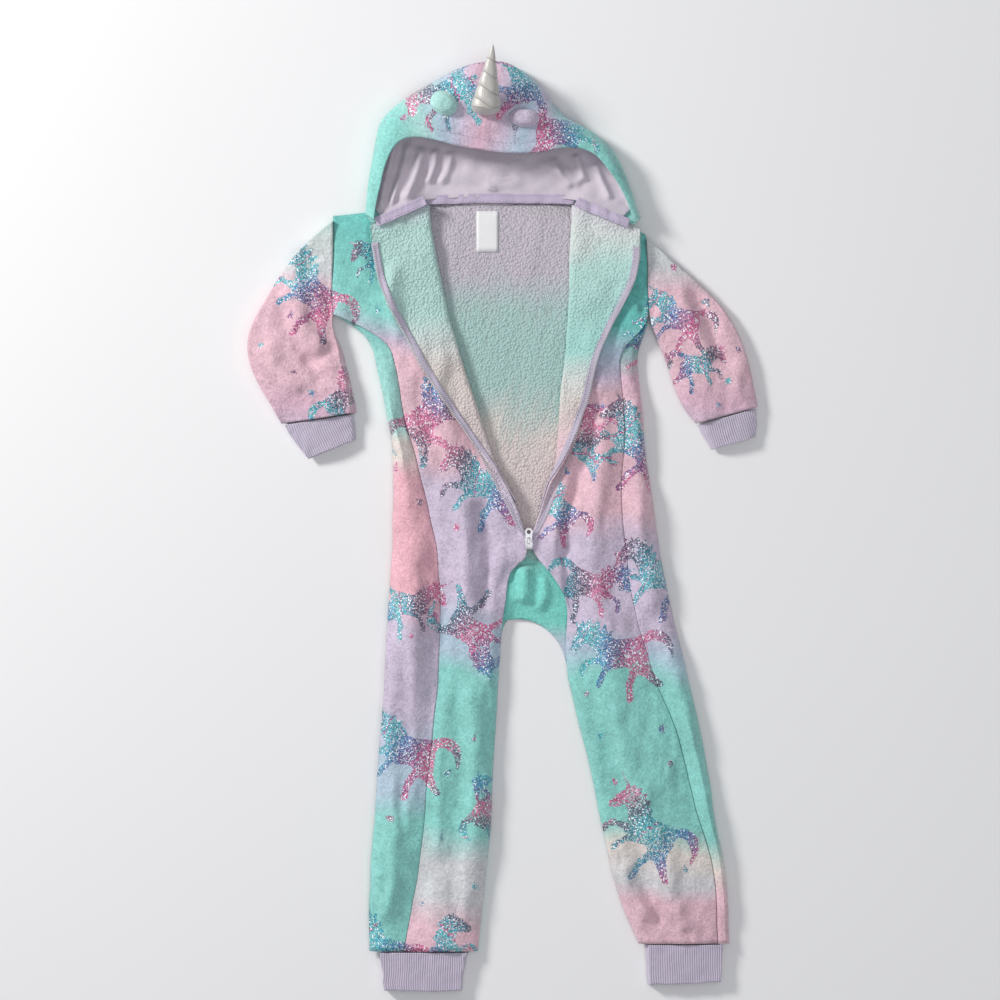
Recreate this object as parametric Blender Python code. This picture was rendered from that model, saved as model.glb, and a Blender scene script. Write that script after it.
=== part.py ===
"""A child's unicorn onesie, laid open and face up on a flat surface.

Every length is in millimetres until it reaches a mesh. +Y is the hood end, +Z is up, and X runs across
the garment. "left" and "right" are the viewer's. The garment lies on z = 0. Each cloth piece is a sheet
of section lines, made into a closed wall by moving its points along the sheet's own normals.
"""

import math

import bmesh
import bpy
import numpy as np
from mathutils.bvhtree import BVHTree

MM = 0.001

# Cloth and clearances
FLEECE = 2.5
JERSEY = 1.5
RIB = 2.0
BINDING = 1.0
LABEL = 0.5
SEAM_GAP = 0.35
REST_Z = FLEECE / 2

# Heights of the cloth's middle surface
ARMHOLE_TOP_Z = 12.5
SHOULDER_Z = 4.3
CHEST_CREST_Z = 14.5
BELLY_CREST_Z = 15.0
LEG_CREST_Z = 16.0
LEG_INNER_Z = 13.5
OPEN_FOLD_Z = 5.0
ARCH_Z = 9.0
ARMPIT_TOP_Z = 15.5
ARMPIT_STEP = 2.2
FOLD_RADIUS = 4.5
LAPEL_CLEARANCE = 1.8
TOP_LAPEL_SLOPE = 0.09
FOLD_DROP_REACH = 80.0
FULL_TURN_WIDTH = 12.0
ZIP_END_Z = 10.5
INSEAM_Z = 5.0

# The directions in which the two edges of a seam are given their thickness
UPRIGHT = (0.0, 0.0, 1.0)
SIDEWAYS = (1.0, 0.0, 0.0)

# The armholes, the seam below the zip and the lower end of the zip
ARMHOLE_LEFT_X = -192.0
ARMHOLE_RIGHT_TOP = (167.0, 327.0)
ARMHOLE_RIGHT_LOW = (172.0, 222.0)
CENTRE_SEAM_X = 33.0
ZIP_END_Y = -29.0
ARCH_TOP_Y = -47.0
ARCH_DROP_REACH = 60.0

# Top edge of the torso: along the left shoulder, round the back neck and down the right shoulder
TOP_EDGE = (
    ("x", "y"),
    (-192.0, 349.0),
    (-150.0, 353.0),
    (-88.0, 362.0),
    (-40.0, 366.0),
    (0.0, 367.0),
    (45.0, 366.0),
    (90.0, 361.0),
    (130.0, 346.0),
    (167.0, 327.0),
)
# Top edge of the folded-back lapels, from the fold outward
LAPEL_TOP = (
    ("x", "y"),
    (-150.0, 337.0),
    (-128.0, 345.0),
    (-88.0, 361.0),
    (88.0, 361.0),
    (160.0, 333.0),
)
# Height at which the arms leave the body, and where the body parts into two legs
ARM_LINE = (
    ("x", "y"),
    (-192.0, 236.0),
    (178.0, 222.0),
)
CROTCH_LINE = (
    ("x", "y"),
    (-130.0, -116.0),
    (2.0, -116.0),
    (13.0, -107.0),
    (22.0, -97.0),
    (33.0, -108.0),
    (49.0, -116.0),
    (61.0, -130.0),
    (75.0, -144.0),
    (200.0, -144.0),
)
# The rows of that line where the two inseams start
CROTCH_LEFT = 2
CROTCH_RIGHT = 8
# Outline and side seams of the torso and legs. The back wraps over the front from the edge to the seam,
# the roll is the height of that strip's crest, and the valley is the height of both seams.
SIDES = (
    ("y", "edge_left", "seam_left", "roll_left", "edge_right", "seam_right", "roll_right", "valley"),
    (213.0, -150.0, -132.0, 10.4, 159.5, 140.0, 10.4, 10.0),
    (201.0, -147.0, -127.0, 11.5, 157.0, 137.0, 11.0, 9.8),
    (170.0, -140.0, -117.0, 15.0, 157.5, 138.0, 14.0, 9.4),
    (138.0, -135.0, -114.0, 17.0, 162.0, 142.0, 15.0, 8.8),
    (106.0, -127.0, -108.0, 18.0, 166.0, 145.0, 15.0, 8.5),
    (75.0, -123.5, -97.0, 19.0, 168.0, 143.0, 16.0, 8.5),
    (30.0, -122.0, -86.0, 20.0, 174.0, 138.0, 17.0, 8.5),
    (-26.0, -122.0, -74.0, 21.0, 181.0, 144.0, 18.0, 8.5),
    (-80.0, -126.0, -69.0, 21.0, 191.0, 150.0, 18.0, 8.5),
    (-121.0, -129.0, -68.0, 21.0, 200.0, 159.0, 18.0, 8.5),
    (-185.0, -132.0, -71.0, 21.0, 216.0, 178.0, 18.0, 8.5),
    (-254.0, -137.0, -78.0, 20.0, 234.0, 208.0, 18.0, 8.5),
    (-320.0, -141.0, -86.0, 19.0, 245.0, 220.0, 17.0, 8.5),
    (-377.0, -146.0, -89.0, 18.0, 253.0, 240.0, 16.0, 8.5),
    (-423.0, -149.0, -97.0, 17.0, 261.0, 249.0, 15.0, 8.5),
    (-489.0, -149.0, -110.0, 15.0, 262.0, 250.0, 14.0, 8.5),
)
# Inner edge of the fronts: the arch over the crotch, then the inseams
INNER = (
    ("y", "left", "right"),
    (-29.0, 33.0, 33.0),
    (-44.0, 31.0, 42.0),
    (-50.0, 20.0, 49.0),
    (-56.0, 12.5, 54.0),
    (-66.0, 9.5, 62.0),
    (-80.0, 7.5, 72.0),
    (-100.0, 5.5, 78.0),
    (-116.0, 2.5, 78.0),
    (-144.0, 0.0, 75.0),
    (-185.0, -3.0, 79.0),
    (-223.0, -5.0, 89.0),
    (-254.0, -7.0, 97.0),
    (-290.0, -9.5, 106.0),
    (-323.0, -10.5, 113.0),
    (-357.0, -11.0, 120.0),
    (-391.0, -16.0, 126.0),
    (-426.0, -19.5, 136.0),
    (-460.0, -23.0, 146.0),
    (-489.0, -26.5, 162.0),
)
# The lapels: where each front folds back, and where its zip edge comes to lie
LAPELS = (
    ("y", "fold_left", "edge_left", "fold_right", "edge_right"),
    (362.0, -86.0, -150.0, 88.0, 160.0),
    (322.0, -83.0, -147.0, 86.0, 161.0),
    (300.0, -78.0, -144.0, 85.0, 160.0),
    (275.0, -73.0, -139.0, 85.0, 155.0),
    (247.0, -67.0, -129.0, 84.0, 138.0),
    (217.0, -59.0, -113.0, 83.0, 125.0),
    (194.0, -52.0, -101.0, 80.0, 115.0),
    (171.0, -46.0, -88.0, 78.0, 109.0),
    (138.0, -34.0, -66.0, 74.0, 102.0),
    (106.0, -25.0, -43.0, 72.0, 91.0),
    (75.0, -14.0, -24.0, 69.5, 80.5),
    (46.0, -1.5, -8.0, 64.0, 70.0),
    (14.0, 15.0, 10.0, 54.0, 58.0),
    (-10.0, 24.0, 21.5, 44.0, 46.5),
    (-29.0, 33.0, 33.0, 33.0, 33.0),
)
# Stations along the body
UPPER_STATIONS = (0.0, 0.2, 0.45, 0.72, 1.0)
# The back's armhole edge: how far in from the edge each column lies, and its rise above the floor layer
FLAT_EDGE = (("inset", "rise"), (0.0, 0.0), (4.4, 0.0), (8.8, 0.0), (13.2, 0.0), (17.6, 0.0), (22.0, 0.0))
LIFTED_EDGE = (("inset", "rise"), (1.5, 2.8), (3.2, 1.3), (6.0, 0.4), (9.5, 0.0), (15.0, 0.0), (22.0, 0.0))
CURLED_EDGE = (("inset", "rise"), (2.8, 7.5), (1.9, 5.5), (1.8, 3.0), (4.0, 0.75), (9.0, 0.0), (22.0, 0.0))
ARMHOLE_CURLS = {UPPER_STATIONS[-2]: LIFTED_EDGE, UPPER_STATIONS[-1]: CURLED_EDGE}
TORSO_STATIONS = (0.068, 0.15, 0.24, 0.33, 0.42, 0.51, 0.6, 0.68, 0.74, 0.785, 0.815, 0.84, 0.885, 0.94, 1.0)
LEG_STATIONS = (0.11, 0.22, 0.33, 0.44, 0.55, 0.66, 0.77, 0.885, 1.0)
LEG_END_LEFT_Y = -495.0
LEG_END_RIGHT_Y = -486.0

# The sleeves, from the armhole to the cuff: outer and inner edge of each section, and its thickness
SLEEVE_LEFT = (
    ("outer_x", "outer_y", "inner_x", "inner_y", "height"),
    (-192.4, 348.5, -192.4, 228.0, 11.5),
    (-223.0, 322.0, -193.0, 217.0, 12.5),
    (-246.0, 292.0, -187.0, 205.0, 13.5),
    (-271.0, 252.0, -180.0, 193.0, 14.5),
    (-291.0, 219.0, -175.0, 176.0, 15.0),
    (-294.0, 193.0, -170.0, 160.0, 15.0),
    (-284.0, 165.0, -167.0, 142.0, 15.0),
    (-266.0, 138.0, -165.0, 130.0, 14.0),
    (-251.0, 110.0, -165.0, 123.0, 12.0),
)
SLEEVE_RIGHT = (
    ("outer_x", "outer_y", "inner_x", "inner_y", "height"),
    (167.5, 326.5, 172.5, 221.0, 11.5),
    (195.0, 300.0, 181.0, 205.0, 12.5),
    (235.0, 266.0, 188.0, 191.0, 13.5),
    (258.0, 240.0, 193.0, 177.0, 14.5),
    (275.0, 210.0, 198.0, 161.0, 15.0),
    (284.0, 183.0, 204.0, 144.0, 15.0),
    (290.0, 155.0, 212.0, 127.0, 14.0),
    (295.0, 130.0, 226.0, 111.0, 12.0),
)
CUFF_LEFT = (
    ("outer_x", "outer_y", "inner_x", "inner_y", "height"),
    (-249.0, 109.0, -166.0, 121.5, 10.0),
    (-239.0, 92.0, -165.5, 108.0, 9.5),
    (-219.0, 70.0, -165.5, 92.0, 9.0),
)
CUFF_RIGHT = (
    ("outer_x", "outer_y", "inner_x", "inner_y", "height"),
    (293.5, 128.0, 227.5, 109.0, 10.0),
    (295.0, 110.0, 235.0, 94.0, 9.5),
    (293.0, 95.0, 244.0, 81.0, 9.0),
)
LEG_CUFF_LEFT = (
    ("outer_x", "outer_y", "inner_x", "inner_y", "height"),
    (-141.0, -496.5, -33.0, -496.5, 12.0),
    (-138.0, -512.0, -38.0, -512.0, 11.0),
    (-136.0, -540.0, -40.0, -540.0, 10.0),
)
LEG_CUFF_RIGHT = (
    ("outer_x", "outer_y", "inner_x", "inner_y", "height"),
    (256.5, -487.5, 165.5, -487.5, 12.0),
    (256.0, -503.0, 166.0, -505.0, 11.0),
    (256.0, -530.0, 168.0, -534.0, 10.0),
)

# The hood, from the left zip top over the crown to the right one: its neck seam, its outermost edge,
# its rim, and the heights of its floor, its crest and its rim
HOOD = (
    ("neck_x", "neck_y", "neck_z", "side_x", "side_y", "floor_z", "top_z", "rim_x", "rim_y", "rim_z"),
    (-147.0, 341.0, 19.2, -152.5, 350.0, 18.0, 28.0, -145.0, 344.0, 29.0),
    (-131.0, 347.0, 17.8, -151.5, 373.0, 7.0, 25.0, -141.0, 366.0, 26.0),
    (-113.0, 355.5, 16.3, -149.0, 400.0, 2.0, 27.0, -136.0, 388.0, 28.0),
    (-97.0, 363.0, 14.0, -144.0, 428.0, REST_Z, 30.0, -131.0, 410.0, 30.0),
    (-80.0, 368.0, 4.0, -134.0, 468.0, REST_Z, 34.0, -116.0, 436.0, 33.0),
    (-62.0, 369.0, 2.0, -100.0, 491.0, REST_Z, 38.0, -92.0, 439.0, 36.0),
    (-42.0, 370.0, REST_Z, -70.0, 509.0, REST_Z, 40.0, -68.0, 433.0, 37.0),
    (-14.0, 370.5, REST_Z, -24.0, 524.0, REST_Z, 41.0, -26.0, 424.0, 38.0),
    (14.0, 370.5, REST_Z, 18.0, 525.0, REST_Z, 40.0, 10.0, 419.0, 37.0),
    (42.0, 370.0, REST_Z, 54.0, 490.0, REST_Z, 38.0, 42.0, 420.0, 36.0),
    (62.0, 369.0, 2.0, 82.0, 455.0, REST_Z, 36.0, 74.0, 427.0, 34.0),
    (80.0, 368.0, 4.0, 120.0, 440.0, REST_Z, 33.0, 104.0, 424.0, 32.0),
    (98.0, 363.0, 14.0, 140.0, 404.0, REST_Z, 30.0, 123.0, 402.0, 30.0),
    (114.0, 354.5, 16.5, 148.0, 386.0, 3.0, 27.0, 136.0, 385.0, 28.0),
    (134.0, 346.0, 18.2, 155.0, 366.0, 8.0, 25.0, 146.0, 366.0, 26.0),
    (153.0, 339.0, 19.6, 160.0, 347.0, 18.0, 28.0, 153.0, 343.0, 29.0),
)
HOOD_ROWS = 21
HOOD_COLUMNS = 12
LINING_GAP = FLEECE / 2 + SEAM_GAP + JERSEY / 2

# The fold of cloth between the legs
LOBE_X = 31.0
LOBE_WIDTH = 9.0
LOBE_HEIGHT = 11.0
LOBE_CENTRE_Y = -80.0
LOBE_REACH = 22.0

# Repeats and first guess when finding where a line crosses an edge
SETTLE_STEPS = 12
SIDE_GUESS = 150.0

# Columns of the sheets
WRAP_COLUMNS = 6
FLOOR_COLUMNS = 9
LEFT_LEG_FLOOR = 4
RIGHT_LEG_FLOOR = 4
INSEAM_COLUMNS = 3
LOWER_COLUMNS = 6
TURN_COLUMNS = 5
LAPEL_COLUMNS = 2
LEAST_TAIL = 14.0
RING_COLUMNS = 14

# Horn, ears and label
HORN_BASE = (-16.0, 471.0)
HORN_TIP = (-8.0, 540.0)
HORN_WIDTH = 34.0
HORN_DEPTH = 26.0
HORN_RISE = 14.0
HORN_WRAPS = 4
HORN_GAP = 1.5
EARS = (
    ("name", "x", "y", "length", "width", "turn"),
    ("ear_left", -64.0, 476.0, 34.0, 28.0, -35.0),
    ("ear_right", 28.0, 459.0, 36.0, 22.0, -5.0),
)
EAR_HEIGHT = 12.0
EAR_GAP = 0.8
LABEL_X = (-27.0, -2.0)
LABEL_Y = (308.0, 355.0)
TAPE_WIDTH = 8.0
TAPE_GAP = 0.8
BINDING_WIDTH = 11.0
TAPE_END_Y = 8.0

# Zip slider and pull tab
SLIDER_Y = -27.0
SLIDER_WIDTH = 9.0
SLIDER_LENGTH = 13.0
SLIDER_HEIGHT = 3.6
SLIDER_BASE_Z = 14.5
BAIL_WIDTH = 2.4
BAIL_LENGTH = 7.0
BAIL_HEIGHT = 3.6
BAIL_WALL = 1.0
TAB_THICKNESS = 1.2
TAB_LENGTH = 15.0
TAB_WIDTH = 6.4
TAB_RING = 9.0
HINGE_Y = SLIDER_Y + 3.0

COLOURS = {
    "mint": (0.45, 0.74, 0.68, 1.0),
    "pink": (0.80, 0.52, 0.60, 1.0),
    "lilac": (0.60, 0.50, 0.70, 1.0),
    "lavender": (0.56, 0.50, 0.64, 1.0),
    "cream": (0.70, 0.68, 0.64, 1.0),
    "white": (0.85, 0.85, 0.85, 1.0),
    "metal": (0.75, 0.75, 0.77, 1.0),
}


def clear_scene():
    for thing in list(bpy.data.objects):
        bpy.data.objects.remove(thing, do_unlink=True)


def material(colour, metallic=0.0, roughness=0.9):
    """The Principled material of a named colour, made once."""
    found = bpy.data.materials.get(colour)
    if found:
        return found
    made = bpy.data.materials.new(colour)
    made.use_nodes = True
    shader = made.node_tree.nodes["Principled BSDF"]
    shader.inputs["Base Color"].default_value = COLOURS[colour]
    shader.inputs["Metallic"].default_value = metallic
    shader.inputs["Roughness"].default_value = roughness
    return made


def column(table, name):
    """One named column of a table, as an array."""
    place = table[0].index(name)
    return np.array([row[place] for row in table[1:]], dtype=float)


def along(table, name, key, value, reach=0.0):
    """A table's column at a value of its key column, averaged over a short reach so that it turns softly."""
    keys = column(table, key)
    values = column(table, name)
    order = np.argsort(keys)
    near = np.linspace(value - reach, value + reach, 5)
    return float(np.mean(np.interp(near, keys[order], values[order])))


def spline(points, steps=14):
    """A smooth line through the given points, as a dense list of points."""
    points = np.array(points, dtype=float)
    first = 2 * points[0] - points[1]
    last = 2 * points[-1] - points[-2]
    padded = np.vstack([first, points, last])
    dense = []
    for i in range(1, len(padded) - 2):
        before, start, end, after = padded[i - 1], padded[i], padded[i + 1], padded[i + 2]
        for t in np.linspace(0.0, 1.0, steps, endpoint=False):
            cubic = (
                2 * start
                + (end - before) * t
                + (2 * before - 5 * start + 4 * end - after) * t**2
                + (3 * start - before - 3 * end + after) * t**3
            )
            dense.append(cubic / 2)
    dense.append(points[-1])
    return np.array(dense)


def lengths(points):
    steps = np.linalg.norm(np.diff(points, axis=0), axis=1)
    return np.concatenate([[0.0], np.cumsum(steps)])


def at_lengths(points, wanted):
    """Points of a line at the wanted distances along it."""
    run = lengths(points)
    return np.stack([np.interp(wanted, run, points[:, k]) for k in range(points.shape[1])], axis=1)


def even(points, count):
    return at_lengths(points, np.linspace(0.0, lengths(points)[-1], count))


def grid_quads(rows, columns, closed=False):
    """The quads of a grid whose points are numbered row by row."""
    quads = []
    last = columns if closed else columns - 1
    for r in range(rows - 1):
        for c in range(last):
            beside = (c + 1) % columns
            here = r * columns
            under = here + columns
            quads.append((here + c, here + beside, under + beside, under + c))
    return quads


def sheet_normals(points, quads):
    """The normal at each point of a sheet, from the faces around it."""
    normals = np.zeros_like(points)
    for quad in quads:
        a, b, c, d = (points[i] for i in quad)
        face = np.cross(c - a, d - b)
        for i in quad:
            normals[i] += face
    sizes = np.linalg.norm(normals, axis=1)
    return normals / sizes[:, None]


def add_object(name, vertices, faces, colour, smooth=True, **finish):
    """A named closed solid from millimetre vertices, its faces turned outward."""
    mesh = bpy.data.meshes.new(name)
    mesh.from_pydata([tuple(v) for v in np.array(vertices) * MM], [], faces)
    shape = bmesh.new()
    shape.from_mesh(mesh)
    bmesh.ops.recalc_face_normals(shape, faces=shape.faces)
    bmesh.ops.triangulate(shape, faces=shape.faces)
    shape.to_mesh(mesh)
    shape.free()
    if smooth:
        mesh.shade_smooth()
        mesh.set_sharp_from_angle(angle=math.radians(50))
    mesh.materials.append(material(colour, **finish))
    made = bpy.data.objects.new(name, mesh)
    bpy.context.collection.objects.link(made)
    return made


def square_ends(normals, ends):
    """Sets the normals along seams, so that the two edges of a seam face each other squarely."""
    for places, direction in ends:
        for i in places:
            sign = 1.0 if np.dot(normals[i], direction) >= 0 else -1.0
            normals[i] = sign * np.array(direction)


def wall(name, points, quads, thickness, colour, ends=()):
    """Makes a sheet into a closed wall, with a rim along each free edge."""
    points = np.array(points, dtype=float)
    normals = sheet_normals(points, quads)
    square_ends(normals, ends)
    over = points + normals * thickness / 2
    under = points - normals * thickness / 2
    over[:, 2] = np.maximum(over[:, 2], 0.0)
    under[:, 2] = np.maximum(under[:, 2], 0.0)
    count = len(points)
    faces = [tuple(quad) for quad in quads]
    faces += [tuple(count + i for i in reversed(quad)) for quad in quads]
    uses = {}
    for quad in quads:
        for start, end in zip(quad, quad[1:] + quad[:1]):
            uses[(start, end)] = True
    for start, end in uses:
        if (end, start) not in uses:
            faces.append((end, start, count + start, count + end))
    return add_object(name, np.vstack([over, under]), faces, colour)


def grid_wall(name, grid, thickness, colour, closed=False, ends=()):
    rows, columns = grid.shape[:2]
    return wall(name, grid.reshape(-1, 3), grid_quads(rows, columns, closed), thickness, colour, ends)


def line_y(table, x):
    return along(table, "y", "x", x)


def upper_y(x, station, top_table=TOP_EDGE):
    """Y on a line between the top edge (0) and the arm line (1)."""
    return line_y(top_table, x) * (1 - station) + line_y(ARM_LINE, x) * station


def torso_y(x, station):
    """Y on a line between the arm line (0) and the crotch line (1); the crotch's notch fades out upward."""
    left_x, left_y = CROTCH_LINE[CROTCH_LEFT]
    right_x, right_y = CROTCH_LINE[CROTCH_RIGHT]
    slanted = float(np.interp(x, (left_x, right_x), (left_y, right_y)))
    notch = (line_y(CROTCH_LINE, x) - slanted) * station**5
    return line_y(ARM_LINE, x) * (1 - station) + slanted * station + notch


def side_value(name, y):
    return along(SIDES, name, "y", y, reach=6.0)


def inner_x(name, y):
    return along(INNER, name, "y", y)


def armhole_x(side, y):
    """X of the armhole's edge on the body."""
    if side < 0:
        return ARMHOLE_LEFT_X
    top_x, top_y = ARMHOLE_RIGHT_TOP
    low_x, low_y = ARMHOLE_RIGHT_LOW
    return top_x + (low_x - top_x) * (top_y - y) / (top_y - low_y)


def upper_line(station, top_table=TOP_EDGE):
    """The line between the top edge and the arm line at a station, as a function of X."""
    return lambda x: upper_y(x, station, top_table)


def torso_line(station):
    """The line between the arm line and the crotch line at a station, as a function of X."""
    return lambda x: torso_y(x, station)


def settle(find_x, find_y, x):
    """The X where a line of the body crosses an edge, found by repeating."""
    for _ in range(SETTLE_STEPS):
        x = find_x(find_y(x))
    return x


def settle_side(name, find_y, side):
    """The X where a line crosses an outline or a side seam."""
    return settle(lambda y: side_value(name, y), find_y, SIDE_GUESS * side)


def settle_armhole(side, find_y):
    """The X where a line crosses an armhole."""
    return settle(lambda y: armhole_x(side, y), find_y, SIDE_GUESS * side)


def wrap_section(edge, seam, crest, valley, inward):
    """The back's edge in section: from the seam on top, over the rolled strip and down to the floor."""
    width = abs(edge - seam)
    keys = (
        (seam, valley),
        (seam - inward * min(3.0, width * 0.25), valley + 0.2),
        (edge + inward * width * 0.5, crest),
        (edge + inward * min(5.0, width * 0.2), crest * 0.78),
        (edge, crest * 0.42),
        (edge + inward * 3.5, 2.8),
        (edge + inward * 11.0, REST_Z),
    )
    return spline(keys)


def back_row(find_y, wrap, curl=None):
    """One line across the back; below the armholes its sides wrap over the front."""
    ends = {}
    for side, name in ((-1, "left"), (1, "right")):
        inward = -side
        if wrap:
            edge = settle_side("edge_" + name, find_y, side)
            seam = settle_side("seam_" + name, find_y, side)
            y = find_y(edge)
            wrapped = wrap_section(edge, seam, side_value("roll_" + name, y), side_value("valley", y), inward)
            section = even(wrapped, WRAP_COLUMNS)
        else:
            edge = settle_armhole(side, find_y)
            section = np.array([(edge + inward * inset, REST_Z + rise) for inset, rise in curl[1:]])
        ends[side] = section
    floor_x = np.linspace(ends[-1][-1][0], ends[1][-1][0], FLOOR_COLUMNS + 2)[1:-1]
    floor = np.stack([floor_x, np.full(FLOOR_COLUMNS, REST_Z)], axis=1)
    return np.vstack([ends[-1], floor, ends[1][::-1]])


def lobe_z(x, y):
    """Extra height of the fold of cloth between the legs."""
    across = math.exp(-(((x - LOBE_X) / LOBE_WIDTH) ** 2))
    down = max(0.0, 1.0 - ((y - LOBE_CENTRE_Y) / LOBE_REACH) ** 2)
    return LOBE_HEIGHT * across * down


def inseam_section(edge, inward):
    """The back's inseam edge in section: from the floor, curling up to the seam."""
    return spline(((edge + inward * 11.0, REST_Z), (edge + inward * 4.0, 2.3), (edge, 3.9), (edge, INSEAM_Z)))


def crotch_floor(xs):
    """Places the last torso line's floor columns on the two inseams and the crotch between them."""
    left_in = CROTCH_LINE[CROTCH_LEFT][0]
    right_in = CROTCH_LINE[CROTCH_RIGHT][0]
    left = np.linspace(xs[0], left_in, LEFT_LEG_FLOOR + 1)[1:]
    between = np.linspace(left_in, right_in, FLOOR_COLUMNS - LEFT_LEG_FLOOR - RIGHT_LEG_FLOOR + 2)[1:-1]
    right = np.linspace(right_in, xs[-1], RIGHT_LEG_FLOOR + 1)[:-1]
    return np.concatenate([left, between, right])


def build_back():
    """The back: torso lines from the neck to the crotch, then two legs that share the last line's points."""
    lines = []
    for station in UPPER_STATIONS:
        section = back_row(upper_line(station), False, ARMHOLE_CURLS.get(station, FLAT_EDGE))
        lines.append(np.array([(x, upper_y(x, station), z) for x, z in section]))
    for station in TORSO_STATIONS:
        section = back_row(torso_line(station), True)
        gather = max(0.0, (station - 0.7) / 0.3)
        first, last = WRAP_COLUMNS - 1, WRAP_COLUMNS + FLOOR_COLUMNS
        xs = section[:, 0].copy()
        target = crotch_floor((xs[first], xs[last]))
        inside = slice(first + 1, last)
        section[inside, 0] = xs[inside] * (1 - gather) + target * gather
        line = [(x, torso_y(x, station), z + lobe_z(x, torso_y(x, station))) for x, z in section]
        lines.append(np.array(line))
    columns = len(lines[0])
    points = list(np.vstack(lines))
    quads = grid_quads(len(lines), columns)
    last_line = (len(lines) - 1) * columns
    seams = [r * columns for r in range(len(lines))] + [r * columns + columns - 1 for r in range(len(lines))]
    inseams = []
    left_count = WRAP_COLUMNS + LEFT_LEG_FLOOR
    right_start = columns - WRAP_COLUMNS - RIGHT_LEG_FLOOR
    legs = (
        (-1, "left", list(range(last_line, last_line + left_count)), LEG_END_LEFT_Y),
        (1, "right", list(range(last_line + right_start, last_line + columns)), LEG_END_RIGHT_Y),
    )
    for side, name, above, end_y in legs:
        start_y = points[above[0]][1]
        for station in LEG_STATIONS:
            y = start_y + (end_y - start_y) * station
            line = [(x, y, z) for x, z in leg_back_section(side, name, y, len(above))]
            here = list(range(len(points), len(points) + len(above)))
            points.extend(np.array(line))
            for c in range(len(above) - 1):
                quads.append((above[c], above[c + 1], here[c + 1], here[c]))
            seams.append(here[0] if side < 0 else here[-1])
            inseams.append(here[-1] if side < 0 else here[0])
            above = here
    return wall("back_panel", points, quads, FLEECE, "mint", ends=((seams, UPRIGHT), (inseams, SIDEWAYS)))


def leg_back_section(side, name, y, count):
    """A leg's back in section, from left to right: the wrap over the outer side, the floor, the inseam."""
    edge = side_value("edge_" + name, y)
    seam = side_value("seam_" + name, y)
    wrapped = wrap_section(edge, seam, side_value("roll_" + name, y), side_value("valley", y), -side)
    wrap = even(wrapped, WRAP_COLUMNS)
    inner = inner_x(name, y)
    rise = even(inseam_section(inner, side), INSEAM_COLUMNS)
    flat = np.linspace(wrap[-1][0], rise[0][0], count - WRAP_COLUMNS - INSEAM_COLUMNS + 2)[1:-1]
    section = np.vstack([wrap, np.stack([flat, np.full(len(flat), REST_Z)], axis=1), rise])
    return section if side < 0 else section[::-1]


def front_line(side, name, station, part):
    """One line across a front, from its armhole or side seam to its zip edge, centre seam or inseam."""
    inward = -side
    if part == "upper":
        find_y = upper_line(station)
        start = settle_armhole(side, find_y)
        rise = min(1.0, station / UPPER_STATIONS[1])
        start_z = SHOULDER_Z + (ARMHOLE_TOP_Z - SHOULDER_Z) * rise
        if station == UPPER_STATIONS[-1]:
            start_z = ARMPIT_TOP_Z
    else:
        find_y = torso_line(station)
        start = settle_side("seam_" + name, find_y, side) + inward * SEAM_GAP
        rise = 1.0
        start_z = side_value("valley", find_y(start))
        if station == TORSO_STATIONS[0]:
            start_z += ARMPIT_STEP
    fold = settle(lambda y: along(LAPELS, "fold_" + name, "y", y), find_y, 60.0 * side)
    fold_y = find_y(fold)
    width = abs(along(LAPELS, "edge_" + name, "y", fold_y) - fold)
    low = min(1.0, max(0.0, fold_y / FOLD_DROP_REACH))
    fold_z = OPEN_FOLD_Z * low + ZIP_END_Z * (1 - low)
    if fold_y < ZIP_END_Y:
        return closed_front_line(side, name, start, find_y)
    span = abs(fold - start)
    crest = SHOULDER_Z + (CHEST_CREST_Z - SHOULDER_Z) * rise
    keys = [(start, start_z), (start + inward * min(4.0, span * 0.1), start_z)]
    keys.append((start + inward * span * 0.4, crest))
    keys.append((fold - inward * min(16.0, span * 0.2), min(crest, fold_z + 1.2)))
    keys.append((fold, fold_z))
    if part == "upper":
        keys[1] = (start + inward * span * 0.15, start_z)
    lower = spline(keys)
    share = min(1.0, width / FULL_TURN_WIDTH)
    angles = np.linspace(-90.0, -90.0 + 180.0 * share, 13)
    turn = [
        (
            fold + inward * FOLD_RADIUS * math.cos(math.radians(a)),
            fold_z + FOLD_RADIUS * (1 + math.sin(math.radians(a))),
        )
        for a in angles
    ]
    turn = np.array(turn)
    heading = turn[-1] - turn[-2] if share > 0.02 else np.array([inward, 0.0])
    heading = heading / np.linalg.norm(heading)
    if share >= 1.0:
        away = np.linspace(width * 0.3, width, 9)
        under_z = np.interp((fold - inward * away) * inward, lower[:, 0] * inward, lower[:, 1])
        slope = max(0.0, float(np.max((under_z + FLEECE + LAPEL_CLEARANCE - turn[-1][1]) / away)))
        if rise < 1.0:
            slope = TOP_LAPEL_SLOPE
        top = np.array([turn[-1], (fold - inward * width, turn[-1][1] + slope * width)])
    else:
        top = np.array([turn[-1], turn[-1] + heading * (2.0 + width * share * 0.8)])
    lapel_line = upper_line(station, LAPEL_TOP) if part == "upper" else None
    return front_columns(lower, turn, top, find_y, lapel_line)


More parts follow.
